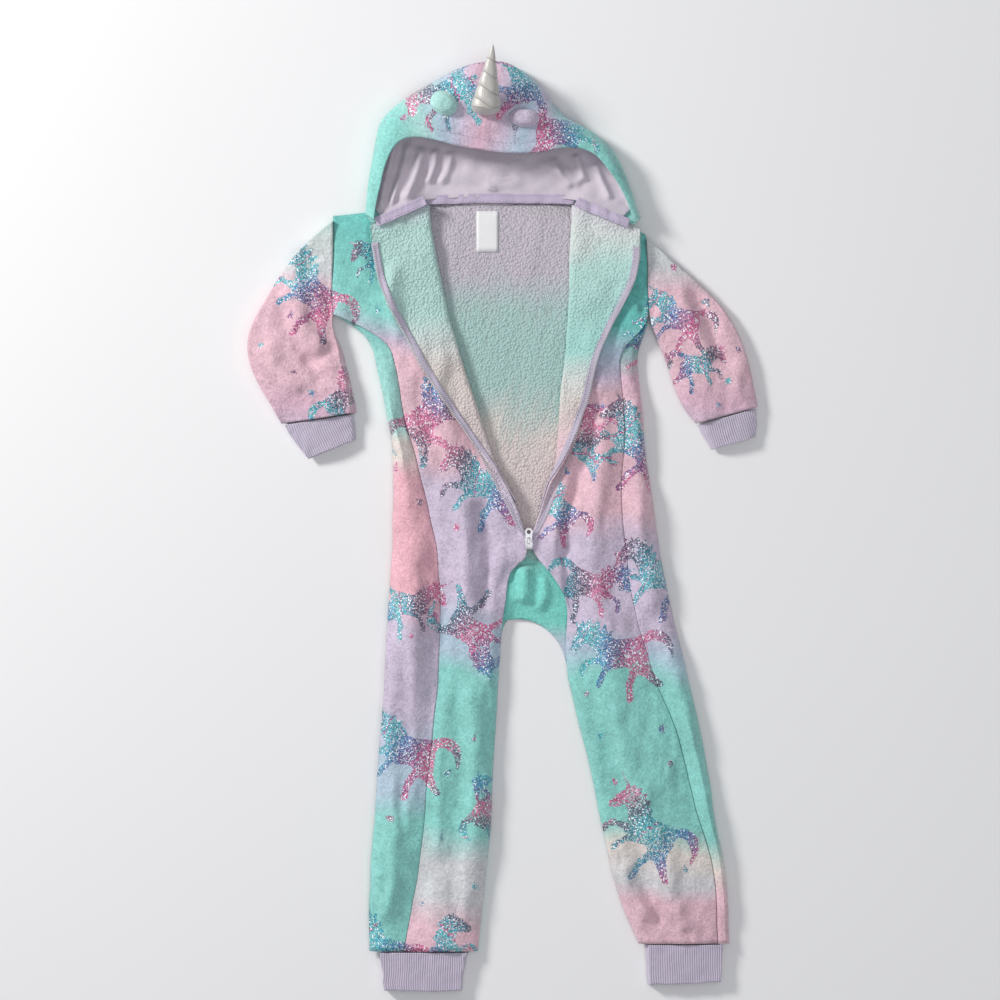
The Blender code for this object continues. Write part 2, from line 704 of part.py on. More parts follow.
def front_columns(lower, turn, top, find_y, lapel_line):
    """Reads a front's section at its columns: the lower layer, the turn, the lapel and the tape's width."""
    path = np.vstack([lower, turn[1:], top[1:]])
    total = lengths(path)[-1]
    lower_end = min(lengths(lower)[-1], total - LEAST_TAIL)
    tape = min(TAPE_WIDTH, 0.4 * (total - lower_end))
    turn_end = min(lengths(lower)[-1] + lengths(turn)[-1], total - tape - 2.0)
    wanted = np.concatenate(
        [
            np.linspace(0.0, lower_end, LOWER_COLUMNS),
            np.linspace(lower_end, turn_end, TURN_COLUMNS + 1)[1:],
            [total - tape, total],
        ]
    )
    section = at_lengths(path, wanted)
    line = []
    for i, (x, z) in enumerate(section):
        y = find_y(x)
        if lapel_line:
            turned = min(1.0, max(0.0, (i - LOWER_COLUMNS + 1) / TURN_COLUMNS))
            y = y * (1 - turned) + lapel_line(x) * turned
        line.append((x, y, z))
    return np.array(line)


def closed_front_line(side, name, start, find_y):
    """A line below the zip: over to the centre seam, or to the edge of the arch over the crotch."""
    inward = -side
    inner = settle(lambda y: inner_x(name, y), find_y, CENTRE_SEAM_X + 20.0 * side)
    inner_y = find_y(inner)
    at_centre = abs(inner - CENTRE_SEAM_X) < 3.0 and inner_y > ARCH_TOP_Y
    inner -= inward * SEAM_GAP / 2
    drop = min(1.0, max(0.0, (ARCH_TOP_Y - inner_y) / ARCH_DROP_REACH))
    end_z = ZIP_END_Z + 1.0 if at_centre else ARCH_Z - (ARCH_Z - INSEAM_Z - 2.0) * drop
    span = abs(inner - start)
    valley = side_value("valley", inner_y)
    keys = (
        (start, valley),
        (start + inward * 4.0, valley + 0.3),
        (start + inward * span * 0.45, BELLY_CREST_Z),
        (inner - inward * min(14.0, span * 0.25), 0.5 * (BELLY_CREST_Z + end_z)),
        (inner, end_z),
    )
    path = spline(keys)
    return read_front(path, find_y)


def read_front(path, find_y):
    section = even(path, LOWER_COLUMNS + TURN_COLUMNS + LAPEL_COLUMNS)
    return np.array([(x, find_y(x), z) for x, z in section])


def leg_front_line(side, name, y):
    """A line across a leg's front, from the side seam to the inseam."""
    inward = -side
    start = side_value("seam_" + name, y) + inward * SEAM_GAP
    inner = inner_x(name, y)
    span = abs(inner - start)
    valley = side_value("valley", y)
    keys = (
        (start, valley),
        (start + inward * 4.0, valley + 0.3),
        (start + inward * span * 0.45, LEG_CREST_Z),
        (inner - inward * span * 0.14, LEG_INNER_Z),
        (inner, 8.0),
        (inner, INSEAM_Z + SEAM_GAP + 0.1),
    )
    return read_front(spline(keys), lambda x: y)


def build_front(side, name, end_y):
    lines = [front_line(side, name, s, "upper") for s in UPPER_STATIONS]
    lines += [front_line(side, name, s, "torso") for s in TORSO_STATIONS]
    start_y = line_y(CROTCH_LINE, 150.0 * side)
    for station in LEG_STATIONS:
        lines.append(leg_front_line(side, name, start_y + (end_y - start_y) * station))
    grid = np.array(lines)
    rows, columns = grid.shape[:2]
    leg_rows = range(rows - len(LEG_STATIONS), rows)
    seams = [r * columns for r in range(1, rows)]
    inseams = [r * columns + columns - 1 for r in leg_rows]
    colour = "pink" if side > 0 else "lilac"
    grid_wall("front_" + name, grid, FLEECE, colour, ends=((seams, UPRIGHT), (inseams, SIDEWAYS)))
    return grid


def flat_ring(row, wall_thickness):
    """A pressed-flat tube's section: flat below, gently crowned above, with round ends."""
    outer_x, outer_y, inner_x_, inner_y_, height = row
    outer = np.array([outer_x, outer_y])
    inner = np.array([inner_x_, inner_y_])
    centre = (outer + inner) / 2
    half = np.linalg.norm(outer - inner) / 2
    direction = (outer - inner) / (2 * half)
    radius = height / 2
    base = wall_thickness / 2
    path = []
    for angle in np.linspace(-90.0, 90.0, 13):
        a = math.radians(angle)
        path.append((half - radius + radius * math.cos(a), base + radius + radius * math.sin(a)))
    path.append((0.0, base + height * 1.12))
    for angle in np.linspace(90.0, 270.0, 13):
        a = math.radians(angle)
        path.append((-half + radius + radius * math.cos(a), base + radius + radius * math.sin(a)))
    path.append(path[0])
    section = even(np.array(path), RING_COLUMNS + 1)[:-1]
    return np.array([(*(centre + direction * u), z) for u, z in section])


def build_tube(name, table, thickness, colour):
    """A tube whose two ends are cut square, so that it meets its neighbours flat."""
    grid = np.array([flat_ring(row, thickness) for row in table[1:]])
    rows, columns = grid.shape[:2]
    points = grid.reshape(-1, 3)
    quads = grid_quads(rows, columns, closed=True)
    normals = sheet_normals(points, quads)
    ends = []
    for r in (0, rows - 1):
        across = grid[r][0] - grid[r][columns // 2]
        square = np.array([-across[1], across[0], 0.0]) / np.hypot(across[0], across[1])
        for i in range(r * columns, (r + 1) * columns):
            flat = normals[i] - square * np.dot(normals[i], square)
            ends.append(((i,), tuple(flat / np.linalg.norm(flat))))
    return wall(name, points, quads, thickness, colour, ends)


def hood_grid():
    """The hood's middle surface: each line runs from the neck seam, along the floor and over to the rim."""
    names = HOOD[0]
    stations = np.linspace(0.0, len(HOOD) - 2, HOOD_ROWS)
    keys = {name: spline(np.stack([column(HOOD, name)] * 2, axis=1), 10)[:, 0] for name in names}
    places = np.linspace(0.0, len(HOOD) - 2, len(keys[names[0]]))
    lines = []
    for station in stations:
        at = {name: float(np.interp(station, places, keys[name])) for name in names}
        neck = np.array([at["neck_x"], at["neck_y"]])
        side = np.array([at["side_x"], at["side_y"]])
        rim = np.array([at["rim_x"], at["rim_y"]])
        outward = (side - neck) / np.linalg.norm(side - neck)
        back = np.linalg.norm(rim - side)
        floor_z = max(at["floor_z"], REST_Z)
        span = np.linalg.norm(side - neck)
        middle_z = floor_z + (at["top_z"] - floor_z) * 0.42
        low = neck + outward * span * 0.45
        near = side - outward * min(12.0, span * 0.3)
        shoulder = side + (rim - side) * min(0.3, 9.0 / back)
        crest = side + (rim - side) * 0.6
        line = (
            (*neck, at["neck_z"]),
            (*low, floor_z + (at["neck_z"] - floor_z) * 0.3),
            (*near, floor_z),
            (*side, middle_z),
            (*shoulder, at["top_z"] - 3.5),
            (*crest, at["top_z"]),
            (*rim, at["rim_z"]),
        )
        dense = spline(line)
        dense[:, 2] = np.maximum(dense[:, 2], REST_Z)
        lines.append(even(dense, HOOD_COLUMNS))
    return np.array(lines)


def facing(grid, toward):
    """The grid's normals, turned to point toward a place."""
    rows, columns = grid.shape[:2]
    points = grid.reshape(-1, 3)
    normals = sheet_normals(points, grid_quads(rows, columns))
    middle = points[(rows // 2) * columns + columns // 2]
    if np.dot(normals[(rows // 2) * columns + columns // 2], np.array(toward) - middle) < 0:
        normals = -normals
    return normals.reshape(grid.shape)


def build_hood():
    grid = hood_grid()
    grid_wall("hood_shell", grid, FLEECE, "mint")
    inward = facing(grid, (0.0, 420.0, 18.0))
    lining = (grid + inward * LINING_GAP)[1:-1, :-1]
    grid_wall("hood_lining", lining, JERSEY, "lavender")
    return grid


def height_finder(thing):
    """A function that gives the height in millimetres of an object's upper side at a place."""
    graph = bpy.context.evaluated_depsgraph_get()
    tree = BVHTree.FromObject(thing, graph)

    def height(x, y):
        place, _, _, _ = tree.ray_cast((x * MM, y * MM, 1.0), (0.0, 0.0, -1.0))
        return place.z / MM

    return height


def build_ears(crown_z):
    """Puffy ovals that follow the crown beneath them."""
    rings, around = 4, 12
    for name, x, y, length, width, turn in EARS[1:]:
        a = math.radians(turn)
        upper, lower = [], []
        for r in range(rings + 1):
            share = r / rings
            for k in range(around):
                t = 2 * math.pi * k / around
                u = length / 2 * share * math.cos(t)
                v = width / 2 * share * math.sin(t)
                px = x + u * math.cos(a) - v * math.sin(a)
                py = y + u * math.sin(a) + v * math.cos(a)
                base = crown_z(px, py) + EAR_GAP
                upper.append((px, py, base + 2.0 + (EAR_HEIGHT - 2.0) * math.sqrt(max(0.0, 1 - share**2.4))))
                lower.append((px, py, base))
        puffed_solid(name, upper, lower, rings, around)


def puffed_solid(name, upper, lower, rings, around):
    """Closes a domed top and a fitted base, each a disc of rings."""
    count = (rings + 1) * around
    vertices = upper[around - 1 :] + lower[around - 1 :]
    each = count - around + 1
    faces = []
    for layer in (0, each):
        for k in range(around):
            faces.append((layer, layer + 1 + k, layer + 1 + (k + 1) % around))
        for r in range(rings - 1):
            for k in range(around):
                a = layer + 1 + r * around + k
                b = layer + 1 + r * around + (k + 1) % around
                faces.append((a, b, b + around, a + around))
    edge = 1 + (rings - 1) * around
    for k in range(around):
        beside = (k + 1) % around
        faces.append((edge + k, edge + beside, each + edge + beside, each + edge + k))
    add_object(name, vertices, faces, "lavender")


def build_horn(crown_z):
    """A stuffed cone that lies forward over the crown, pinched by its thread wraps."""
    base_z = crown_z(*HORN_BASE) + HORN_DEPTH / 2 + HORN_GAP
    start = np.array([*HORN_BASE, base_z])
    end = np.array([*HORN_TIP, base_z + HORN_RISE])
    axis = (end - start) / np.linalg.norm(end - start)
    across = np.cross(axis, (0.0, 0.0, 1.0))
    across /= np.linalg.norm(across)
    up = np.cross(across, axis)
    rings, around = 15, 14
    vertices = []
    for r in range(rings):
        share = r / (rings - 1)
        pinch = 1.0 - 0.07 * (1 - abs(math.sin(math.pi * HORN_WRAPS * share + 0.2)))
        size = (1.0 - share) ** 0.92 * pinch + 0.05
        for k in range(around):
            t = 2 * math.pi * k / around
            ring = across * math.cos(t) * HORN_WIDTH / 2 + up * math.sin(t) * HORN_DEPTH / 2
            vertices.append(start + (end - start) * share + ring * size)
    faces = grid_quads(rings, around, closed=True)
    faces.append(tuple(range(around)))
    faces.append(tuple(range((rings - 1) * around, rings * around)))
    add_object("horn", vertices, faces, "cream")


def build_tapes(fronts):
    """A flat tape on the shown side of each zip edge, made from the front's points, moved out."""
    lift = FLEECE / 2 + BINDING / 2 + TAPE_GAP
    for name, grid in fronts.items():
        rows, columns = grid.shape[:2]
        normals = sheet_normals(grid.reshape(-1, 3), grid_quads(rows, columns)).reshape(grid.shape)
        if normals[2][-1][2] < 0:
            normals = -normals
        lines = []
        for line, normal in zip(grid[1:], normals[1:]):
            if line[-1][1] < TAPE_END_Y:
                break
            inset = (line[-2] - line[-1]) / np.linalg.norm(line[-2] - line[-1]) * 0.5
            lines.append([line[-1] + inset + normal[-1] * lift, line[-2] + normal[-2] * lift])
        grid_wall("zip_tape_" + name, np.array(lines), BINDING, "lavender")


def build_binding(grid):
    """The tape over the neck seam, in three stretches parted at the lapels' folds."""
    seam = spline(grid[:, 0], 6)
    stretches = (
        ("neck_binding_left", -144.0, -100.0),
        ("neck_binding_back", -68.0, 68.0),
        ("neck_binding_right", 102.0, 150.0),
    )
    for name, start, end in stretches:
        chosen = seam[(seam[:, 0] > start) & (seam[:, 0] < end)]
        chosen = even(chosen, 9)
        lines = []
        for i, point in enumerate(chosen):
            ahead = chosen[min(i + 1, len(chosen) - 1)] - chosen[max(i - 1, 0)]
            toward_neck = np.array([ahead[1], -ahead[0], 0.0])
            toward_neck /= np.linalg.norm(toward_neck)
            lift = FLEECE / 2 + SEAM_GAP + JERSEY + SEAM_GAP + BINDING / 2 + 0.5
            lines.append(
                [
                    point + np.array([0.0, 0.0, lift]) + toward_neck * BINDING_WIDTH * k
                    for k in (-0.4, 0.1, 0.6)
                ]
            )
        grid_wall(name, np.array(lines), BINDING, "lavender")


def build_label():
    z = FLEECE + SEAM_GAP + LABEL / 2
    xs = np.linspace(*LABEL_X, 2)
    ys = np.linspace(*LABEL_Y, 3)
    grid = np.array([[(x, y, z) for x in xs] for y in ys])
    grid_wall("care_label", grid, LABEL, "white")


def extruded(outline, low_x, high_x):
    """A closed (y, z) outline carried across X."""
    count = len(outline)
    vertices = [(low_x, y, z) for y, z in outline] + [(high_x, y, z) for y, z in outline]
    faces = [tuple(range(count)), tuple(range(count, 2 * count))]
    for i in range(count):
        beside = (i + 1) % count
        faces.append((i, beside, count + beside, count + i))
    return vertices, faces


def build_slider():
    """The slider's body with a bail over it, which the pull tab's crossbar runs through."""
    x = CENTRE_SEAM_X
    base = SLIDER_BASE_Z
    top = base + SLIDER_HEIGHT
    length = SLIDER_LENGTH / 2
    outline = (
        (SLIDER_Y - length, base + 0.8),
        (SLIDER_Y - length + 1.0, base),
        (SLIDER_Y + length - 1.0, base),
        (SLIDER_Y + length, base + 0.8),
        (SLIDER_Y + length, top - 0.8),
        (SLIDER_Y + length - 1.0, top),
        (SLIDER_Y - length + 1.0, top),
        (SLIDER_Y - length, top - 0.8),
    )
    body = add_object(
        "zip_slider", *extruded(outline, x - SLIDER_WIDTH / 2, x + SLIDER_WIDTH / 2), "metal", smooth=False,
        metallic=0.9, roughness=0.35,
    )
    half = BAIL_LENGTH / 2
    crown = top + BAIL_HEIGHT
    foot = top - 0.5
    arch = (
        (HINGE_Y - half, foot),
        (HINGE_Y - half, crown - 1.2),
        (HINGE_Y - half + 1.2, crown),
        (HINGE_Y + half - 1.2, crown),
        (HINGE_Y + half, crown - 1.2),
        (HINGE_Y + half, foot),
        (HINGE_Y + half - BAIL_WALL, foot),
        (HINGE_Y + half - BAIL_WALL, crown - BAIL_WALL - 0.4),
        (HINGE_Y + half - BAIL_WALL - 0.4, crown - BAIL_WALL),
        (HINGE_Y - half + BAIL_WALL + 0.4, crown - BAIL_WALL),
        (HINGE_Y - half + BAIL_WALL, crown - BAIL_WALL - 0.4),
        (HINGE_Y - half + BAIL_WALL, foot),
    )
    bail = add_object(
        "bail_cutter", *extruded(arch, x - BAIL_WIDTH / 2, x + BAIL_WIDTH / 2), "metal", smooth=False
    )
    join(body, bail, "UNION")


def join(body, other, how):
    """Applies a boolean at once and removes the other object."""
    step = body.modifiers.new(how.lower(), "BOOLEAN")
    step.operation = how
    step.object = other
    step.solver = "EXACT"
    bpy.context.view_layer.update()
    evaluated = body.evaluated_get(bpy.context.evaluated_depsgraph_get())
    result = bpy.data.meshes.new_from_object(evaluated)
    body.modifiers.clear()
    body.data = result
    bpy.data.objects.remove(other, do_unlink=True)


def hinge_z():
    """Height of the pull tab's crossbar, in the middle of the bail's opening."""
    top = SLIDER_BASE_Z + SLIDER_HEIGHT
    return top + (BAIL_HEIGHT - BAIL_WALL) / 2


def build_pull_tab():
    """A stamped tab: a crossbar through the bail, two arms and a ring, lying toward the hood."""
    x = CENTRE_SEAM_X
    z = hinge_z()
    y = HINGE_Y
    bar = TAB_THICKNESS / 2
    ring_centre = y + TAB_LENGTH - TAB_RING / 2
    outline = [(x - TAB_WIDTH / 2, y - bar), (x + TAB_WIDTH / 2, y - bar)]
    for step in range(-4, 17):
        angle = math.radians(-20.0 + 220.0 * (step + 4) / 20.0)
        outline.append((x + TAB_RING / 2 * math.cos(angle), ring_centre + TAB_RING / 2 * math.sin(angle)))
    body = add_object("pull_tab", *plate(outline, z, TAB_THICKNESS), "metal", smooth=False)
    half = BAIL_WIDTH / 2 + 0.5
    slot = ((x - half, y + bar), (x + half, y + bar), (x + half, y + bar + 3.4), (x - half, y + bar + 3.4))
    join(body, add_object("slot_cutter", *plate(slot, z, 4.0), "metal", smooth=False), "DIFFERENCE")
    hole = []
    for step in range(16):
        angle = 2 * math.pi * step / 16
        hole.append((x + TAB_RING * 0.27 * math.cos(angle), ring_centre + TAB_RING * 0.27 * math.sin(angle)))
    join(body, add_object("hole_cutter", *plate(hole, z, 4.0), "metal", smooth=False), "DIFFERENCE")


def plate(outline, z, thickness):
    """A flat outline given a thickness, centred on a height."""
    count = len(outline)
    vertices = [(x, y, z - thickness / 2) for x, y in outline]
    vertices += [(x, y, z + thickness / 2) for x, y in outline]
    faces = [tuple(range(count)), tuple(range(count, 2 * count))]
    for i in range(count):
        beside = (i + 1) % count
        faces.append((i, beside, count + beside, count + i))
    return vertices, faces


def centre_on_footprint():
    """Moves every mesh so that the origin is the middle of the footprint, on the surface below."""
    corners = [v.co for thing in bpy.data.objects for v in thing.data.vertices]
    low_x = min(c.x for c in corners)
    high_x = max(c.x for c in corners)
    low_y = min(c.y for c in corners)
    high_y = max(c.y for c in corners)
    for thing in bpy.data.objects:
        for vertex in thing.data.vertices:
            vertex.co.x -= (low_x + high_x) / 2
            vertex.co.y -= (low_y + high_y) / 2


def main():
    clear_scene()
    build_back()
    fronts = {
        "left": build_front(-1, "left", LEG_END_LEFT_Y),
        "right": build_front(1, "right", LEG_END_RIGHT_Y),
    }
    build_tube("sleeve_left", SLEEVE_LEFT, FLEECE, "pink")
    build_tube("sleeve_right", SLEEVE_RIGHT, FLEECE, "pink")
    build_tube("sleeve_cuff_left", CUFF_LEFT, RIB, "lavender")
    build_tube("sleeve_cuff_right", CUFF_RIGHT, RIB, "lavender")
    build_tube("leg_cuff_left", LEG_CUFF_LEFT, RIB, "lavender")
    build_tube("leg_cuff_right", LEG_CUFF_RIGHT, RIB, "lavender")
    hood = build_hood()
    crown_z = height_finder(bpy.data.objects["hood_shell"])
    build_horn(crown_z)
    build_ears(crown_z)
    build_tapes(fronts)
    build_binding(hood)
    build_label()
    build_slider()
    build_pull_tab()
    centre_on_footprint()


main()
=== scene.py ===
import math

import bmesh
import bpy
import numpy as np
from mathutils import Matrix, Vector
from mathutils.bvhtree import BVHTree


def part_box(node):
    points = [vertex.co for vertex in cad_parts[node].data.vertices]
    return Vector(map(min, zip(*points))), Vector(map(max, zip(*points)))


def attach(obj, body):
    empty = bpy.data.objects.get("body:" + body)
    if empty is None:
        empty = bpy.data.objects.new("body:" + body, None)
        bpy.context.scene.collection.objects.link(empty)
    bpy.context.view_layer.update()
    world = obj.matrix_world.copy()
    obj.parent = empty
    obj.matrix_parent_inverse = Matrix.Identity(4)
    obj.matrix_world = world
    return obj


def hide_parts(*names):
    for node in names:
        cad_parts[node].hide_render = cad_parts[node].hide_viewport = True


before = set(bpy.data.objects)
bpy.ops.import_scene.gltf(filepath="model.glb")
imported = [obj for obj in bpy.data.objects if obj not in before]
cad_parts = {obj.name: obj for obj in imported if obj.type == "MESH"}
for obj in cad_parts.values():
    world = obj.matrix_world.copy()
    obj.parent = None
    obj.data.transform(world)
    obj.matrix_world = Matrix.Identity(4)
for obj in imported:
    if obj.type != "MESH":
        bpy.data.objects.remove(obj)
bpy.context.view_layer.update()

MM = 0.001
# Where the slider stands in the layout that all places below are given in
SLIDER_PLACE = (33.0, -27.0)
SLIDER_LOW, SLIDER_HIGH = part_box("zip_slider")
SHIFT = np.array(
    [
        SLIDER_PLACE[0] - (SLIDER_LOW[0] + SLIDER_HIGH[0]) / 2 / MM,
        SLIDER_PLACE[1] - (SLIDER_LOW[1] + SLIDER_HIGH[1]) / 2 / MM,
        0.0,
    ]
)
# The line that parts the back's left strip from its right one
CENTRE_X = 33.0
# Farther than any two places of the garment, to start a search for the nearest from
FAR = 1e9
# A depth for print_depth that leaves no foil, whatever its ragged edge does
NO_PRINT = -9.0
# How far apart the cuffs' ribs are
RIB_PITCH = 2.6
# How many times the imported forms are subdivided
CLOTH_LEVELS = 3
RIB_LEVELS = 4
# CAD corners nearer than this are one corner, in metres
WELD = 0.00001

# Dye and thread colours, as they look in daylight
DYES = {
    "teal": (104, 188, 182),
    "aqua": (138, 205, 198),
    "mint": (168, 214, 208),
    "blue": (176, 197, 214),
    "lilac": (200, 187, 208),
    "lavender": (194, 184, 206),
    "pink": (222, 184, 196),
    "salmon": (226, 174, 186),
    "rose": (216, 178, 196),
    "cream": (222, 211, 205),
    "pale": (208, 217, 215),
    "grey": (206, 207, 211),
    "inside_grey": (186, 178, 192),
    "inside_mint": (150, 193, 189),
    "inside_cream": (214, 204, 199),
    "inside_pink": (212, 196, 197),
    "crotch": (124, 210, 199),
}
# Dyed bands down the garment: the height along Y where each dye is full
LEFT_FRONT = (
    (360, "teal"), (240, "aqua"), (205, "lavender"), (180, "pink"), (85, "pink"), (55, "lilac"),
    (-75, "lilac"), (-110, "blue"), (-150, "blue"), (-180, "aqua"), (-345, "aqua"), (-385, "grey"),
    (-425, "grey"), (-450, "pink"), (-545, "pink"),
)
RIGHT_FRONT = (
    (360, "teal"), (222, "teal"), (195, "blue"), (168, "lavender"), (140, "pink"), (5, "pink"),
    (-25, "lilac"), (-115, "lilac"), (-145, "blue"), (-180, "aqua"), (-355, "aqua"), (-385, "cream"),
    (-420, "grey"), (-440, "pink"), (-545, "pink"),
)
LEFT_STRIP = (
    (360, "teal"), (215, "aqua"), (115, "mint"), (95, "cream"), (78, "cream"), (55, "salmon"),
    (-85, "salmon"), (-120, "lilac"), (-220, "lilac"), (-270, "blue"), (-310, "blue"), (-345, "aqua"),
    (-480, "aqua"), (-545, "mint"),
)
RIGHT_STRIP = (
    (360, "teal"), (210, "teal"), (160, "rose"), (130, "pink"), (5, "pink"), (-30, "lilac"),
    (-115, "lilac"), (-150, "blue"), (-190, "aqua"), (-365, "aqua"), (-400, "cream"), (-430, "pink"),
    (-545, "pink"),
)
BACK_INSIDE = (
    (380, "inside_grey"), (285, "inside_grey"), (245, "inside_mint"), (130, "inside_mint"),
    (95, "inside_cream"), (40, "inside_pink"), (-20, "inside_pink"), (-40, "crotch"), (-200, "crotch"),
)
LEFT_LAPEL = (
    (370, "lavender"), (335, "mint"), (240, "mint"), (195, "pale"), (160, "inside_cream"),
    (90, "inside_pink"), (20, "lilac"), (-30, "lilac"),
)
RIGHT_LAPEL = (
    (370, "lavender"), (330, "pale"), (290, "mint"), (200, "aqua"), (165, "pale"), (130, "inside_cream"),
    (80, "pink"), (-30, "lilac"),
)
SLEEVE_BANDS = (
    (360, "mint"), (320, "pale"), (285, "grey"), (262, "pink"), (160, "pink"), (130, "rose"),
    (90, "lilac"),
)
# Across the hood, from left to right
HOOD_BANDS = (
    (-160, "aqua"), (-120, "aqua"), (-95, "mint"), (-72, "blue"), (-45, "lilac"), (-20, "rose"),
    (5, "lilac"), (30, "blue"), (62, "lavender"), (84, "aqua"), (130, "aqua"), (170, "mint"),
)

# The lapels: where each front folds back, and where its zip edge lies
LAPELS = (
    ("y", "fold_left", "edge_left", "fold_right", "edge_right"),
    (362.0, -86.0, -150.0, 88.0, 160.0),
    (322.0, -83.0, -147.0, 86.0, 161.0),
    (300.0, -78.0, -144.0, 85.0, 160.0),
    (275.0, -73.0, -139.0, 85.0, 155.0),
    (247.0, -67.0, -129.0, 84.0, 138.0),
    (217.0, -59.0, -113.0, 83.0, 125.0),
    (194.0, -52.0, -101.0, 80.0, 115.0),
    (171.0, -46.0, -88.0, 78.0, 109.0),
    (138.0, -34.0, -66.0, 74.0, 102.0),
    (106.0, -25.0, -43.0, 72.0, 91.0),
    (75.0, -14.0, -24.0, 69.5, 80.5),
    (46.0, -1.5, -8.0, 64.0, 70.0),
    (14.0, 15.0, 10.0, 54.0, 58.0),
    (-10.0, 24.0, 21.5, 44.0, 46.5),
    (-29.0, 33.0, 33.0, 33.0, 33.0),
)
# Side seams, where the back wraps over the fronts
SEAMS = (
    ("y", "left", "right"),
    (213.0, -132.0, 140.0),
    (170.0, -117.0, 138.0),
    (106.0, -108.0, 145.0),
    (30.0, -86.0, 138.0),
    (-26.0, -74.0, 144.0),
    (-121.0, -68.0, 159.0),
    (-185.0, -71.0, 178.0),
    (-254.0, -78.0, 208.0),
    (-320.0, -86.0, 220.0),
    (-377.0, -89.0, 240.0),
    (-423.0, -97.0, 249.0),
    (-489.0, -110.0, 250.0),
)

# Folds of the upper cloth: (height, half width, then the line it follows). A trough has a minus height.
FOLDS = (
    (-3.2, 9.0, ((-25, 33), (-16, -9), (-12, -33), (-16, -72), (-18, -112))),
    (2.2, 10.0, ((-42, 30), (-38, -30), (-40, -90), (-36, -135))),
    (-3.0, 8.0, ((116, 161), (115, 138), (94, 68), (83, 21), (76, -9), (75, -40), (82, -85), (95, -135))),
    (2.4, 11.0, ((100, 120), (80, 40), (66, -10), (60, -50))),
    (2.0, 12.0, ((128, 110), (112, 20), (108, -60), (122, -140), (140, -210))),
    (-2.0, 10.0, ((105, -190), (128, -270), (150, -340), (176, -430))),
    (2.2, 16.0, ((120, -190), (150, -290), (178, -370), (205, -470))),
    (-1.8, 12.0, ((-52, -140), (-46, -230), (-46, -322), (-57, -470))),
    (1.8, 14.0, ((-34, -160), (-30, -260), (-34, -380), (-44, -470))),
    (1.6, 10.0, ((-66, -190), (-70, -290), (-74, -400))),
    (2.4, 9.0, ((136, -391), (152, -425), (174, -462))),
    (-2.0, 7.0, ((150, -392), (168, -428), (190, -470))),
    (1.8, 8.0, ((200, -440), (214, -472))),
    (-2.2, 9.0, ((218, 270), (240, 225), (247, 201), (270, 172))),
    (2.2, 10.0, ((205, 262), (228, 215), (240, 180))),
    (-1.8, 9.0, ((-262, 250), (-240, 215), (-215, 180), (-200, 150))),
    (2.0, 11.0, ((-240, 275), (-225, 225), (-200, 185))),
    (1.8, 9.0, ((-272, 205), (-250, 170), (-225, 145))),
    (-1.6, 7.0, ((-185, 205), (-205, 188), (-230, 180))),
    (-2.0, 6.0, ((158, 241), (170, 243), (182, 238))),
    (2.0, 8.0, ((-118, 300), (-126, 250), (-112, 200))),
    (1.5, 9.0, ((-60, 200), (-70, 150), (-50, 90))),
    (-1.6, 8.0, ((-95, 175), (-88, 120), (-64, 60))),
    (1.8, 10.0, ((-100, -20), (-98, -120), (-104, -230))),
    (-1.6, 8.0, ((-112, -130), (-108, -250), (-118, -360))),
    (1.6, 9.0, ((-122, -280), (-120, -380), (-128, -470))),
    (1.6, 9.0, ((160, 60), (165, -40), (176, -120))),
    (-1.5, 8.0, ((166, -80), (190, -190), (222, -290))),
)
# Folds of the back's floor, as it shows between the lapels: the cloth only rises
FLOOR_FOLDS = (
    (2.2, 6.0, ((-82, 330), (-50, 310), (-16, 292), (6, 262))),
    (1.6, 5.0, ((-62, 300), (-40, 280), (-22, 252))),
    (1.5, 7.0, ((18, 345), (40, 322), (66, 300))),
    (1.3, 8.0, ((30, 250), (42, 190), (40, 120))),
    (1.4, 9.0, ((-20, 200), (0, 140), (20, 70))),
    (1.2, 7.0, ((60, 230), (62, 180), (58, 130))),
    (9.0, 7.5, ((27, -50), (29, -74), (25, -97))),
    (5.0, 4.6, ((49, -64), (51, -84), (44, -106))),
    (3.5, 5.0, ((12, -68), (9, -90), (8, -112))),
)
# Diagonal folds of the hood's lining, which stand out from the hood behind it
LINING_FOLDS = (
    (3.4, 5.0, ((-118, 445), (-126, 410), (-134, 378), (-138, 352))),
    (3.0, 5.0, ((-104, 438), (-110, 408), (-120, 378), (-126, 356))),
    (3.2, 5.5, ((-90, 432), (-94, 405), (-104, 378), (-110, 364))),
    (2.4, 5.0, ((-74, 428), (-76, 405), (-84, 384))),
    (2.4, 4.0, ((-14, 418), (-12, 396), (-10, 376))),
    (1.8, 4.0, ((-3, 416), (0, 396), (2, 378))),
    (1.8, 4.0, ((-56, 424), (-60, 402), (-70, 384))),
    (1.6, 3.6, ((-36, 420), (-36, 400), (-30, 384))),
    (1.6, 4.0, ((20, 416), (18, 396), (12, 380))),
    (1.8, 4.0, ((60, 418), (70, 396), (84, 380))),
    (2.0, 4.0, ((108, 410), (118, 388), (128, 366))),
    (2.2, 5.0, ((86, 422), (92, 404), (98, 388))),
    (2.0, 7.0, ((40, 410), (70, 400), (96, 384))),
)

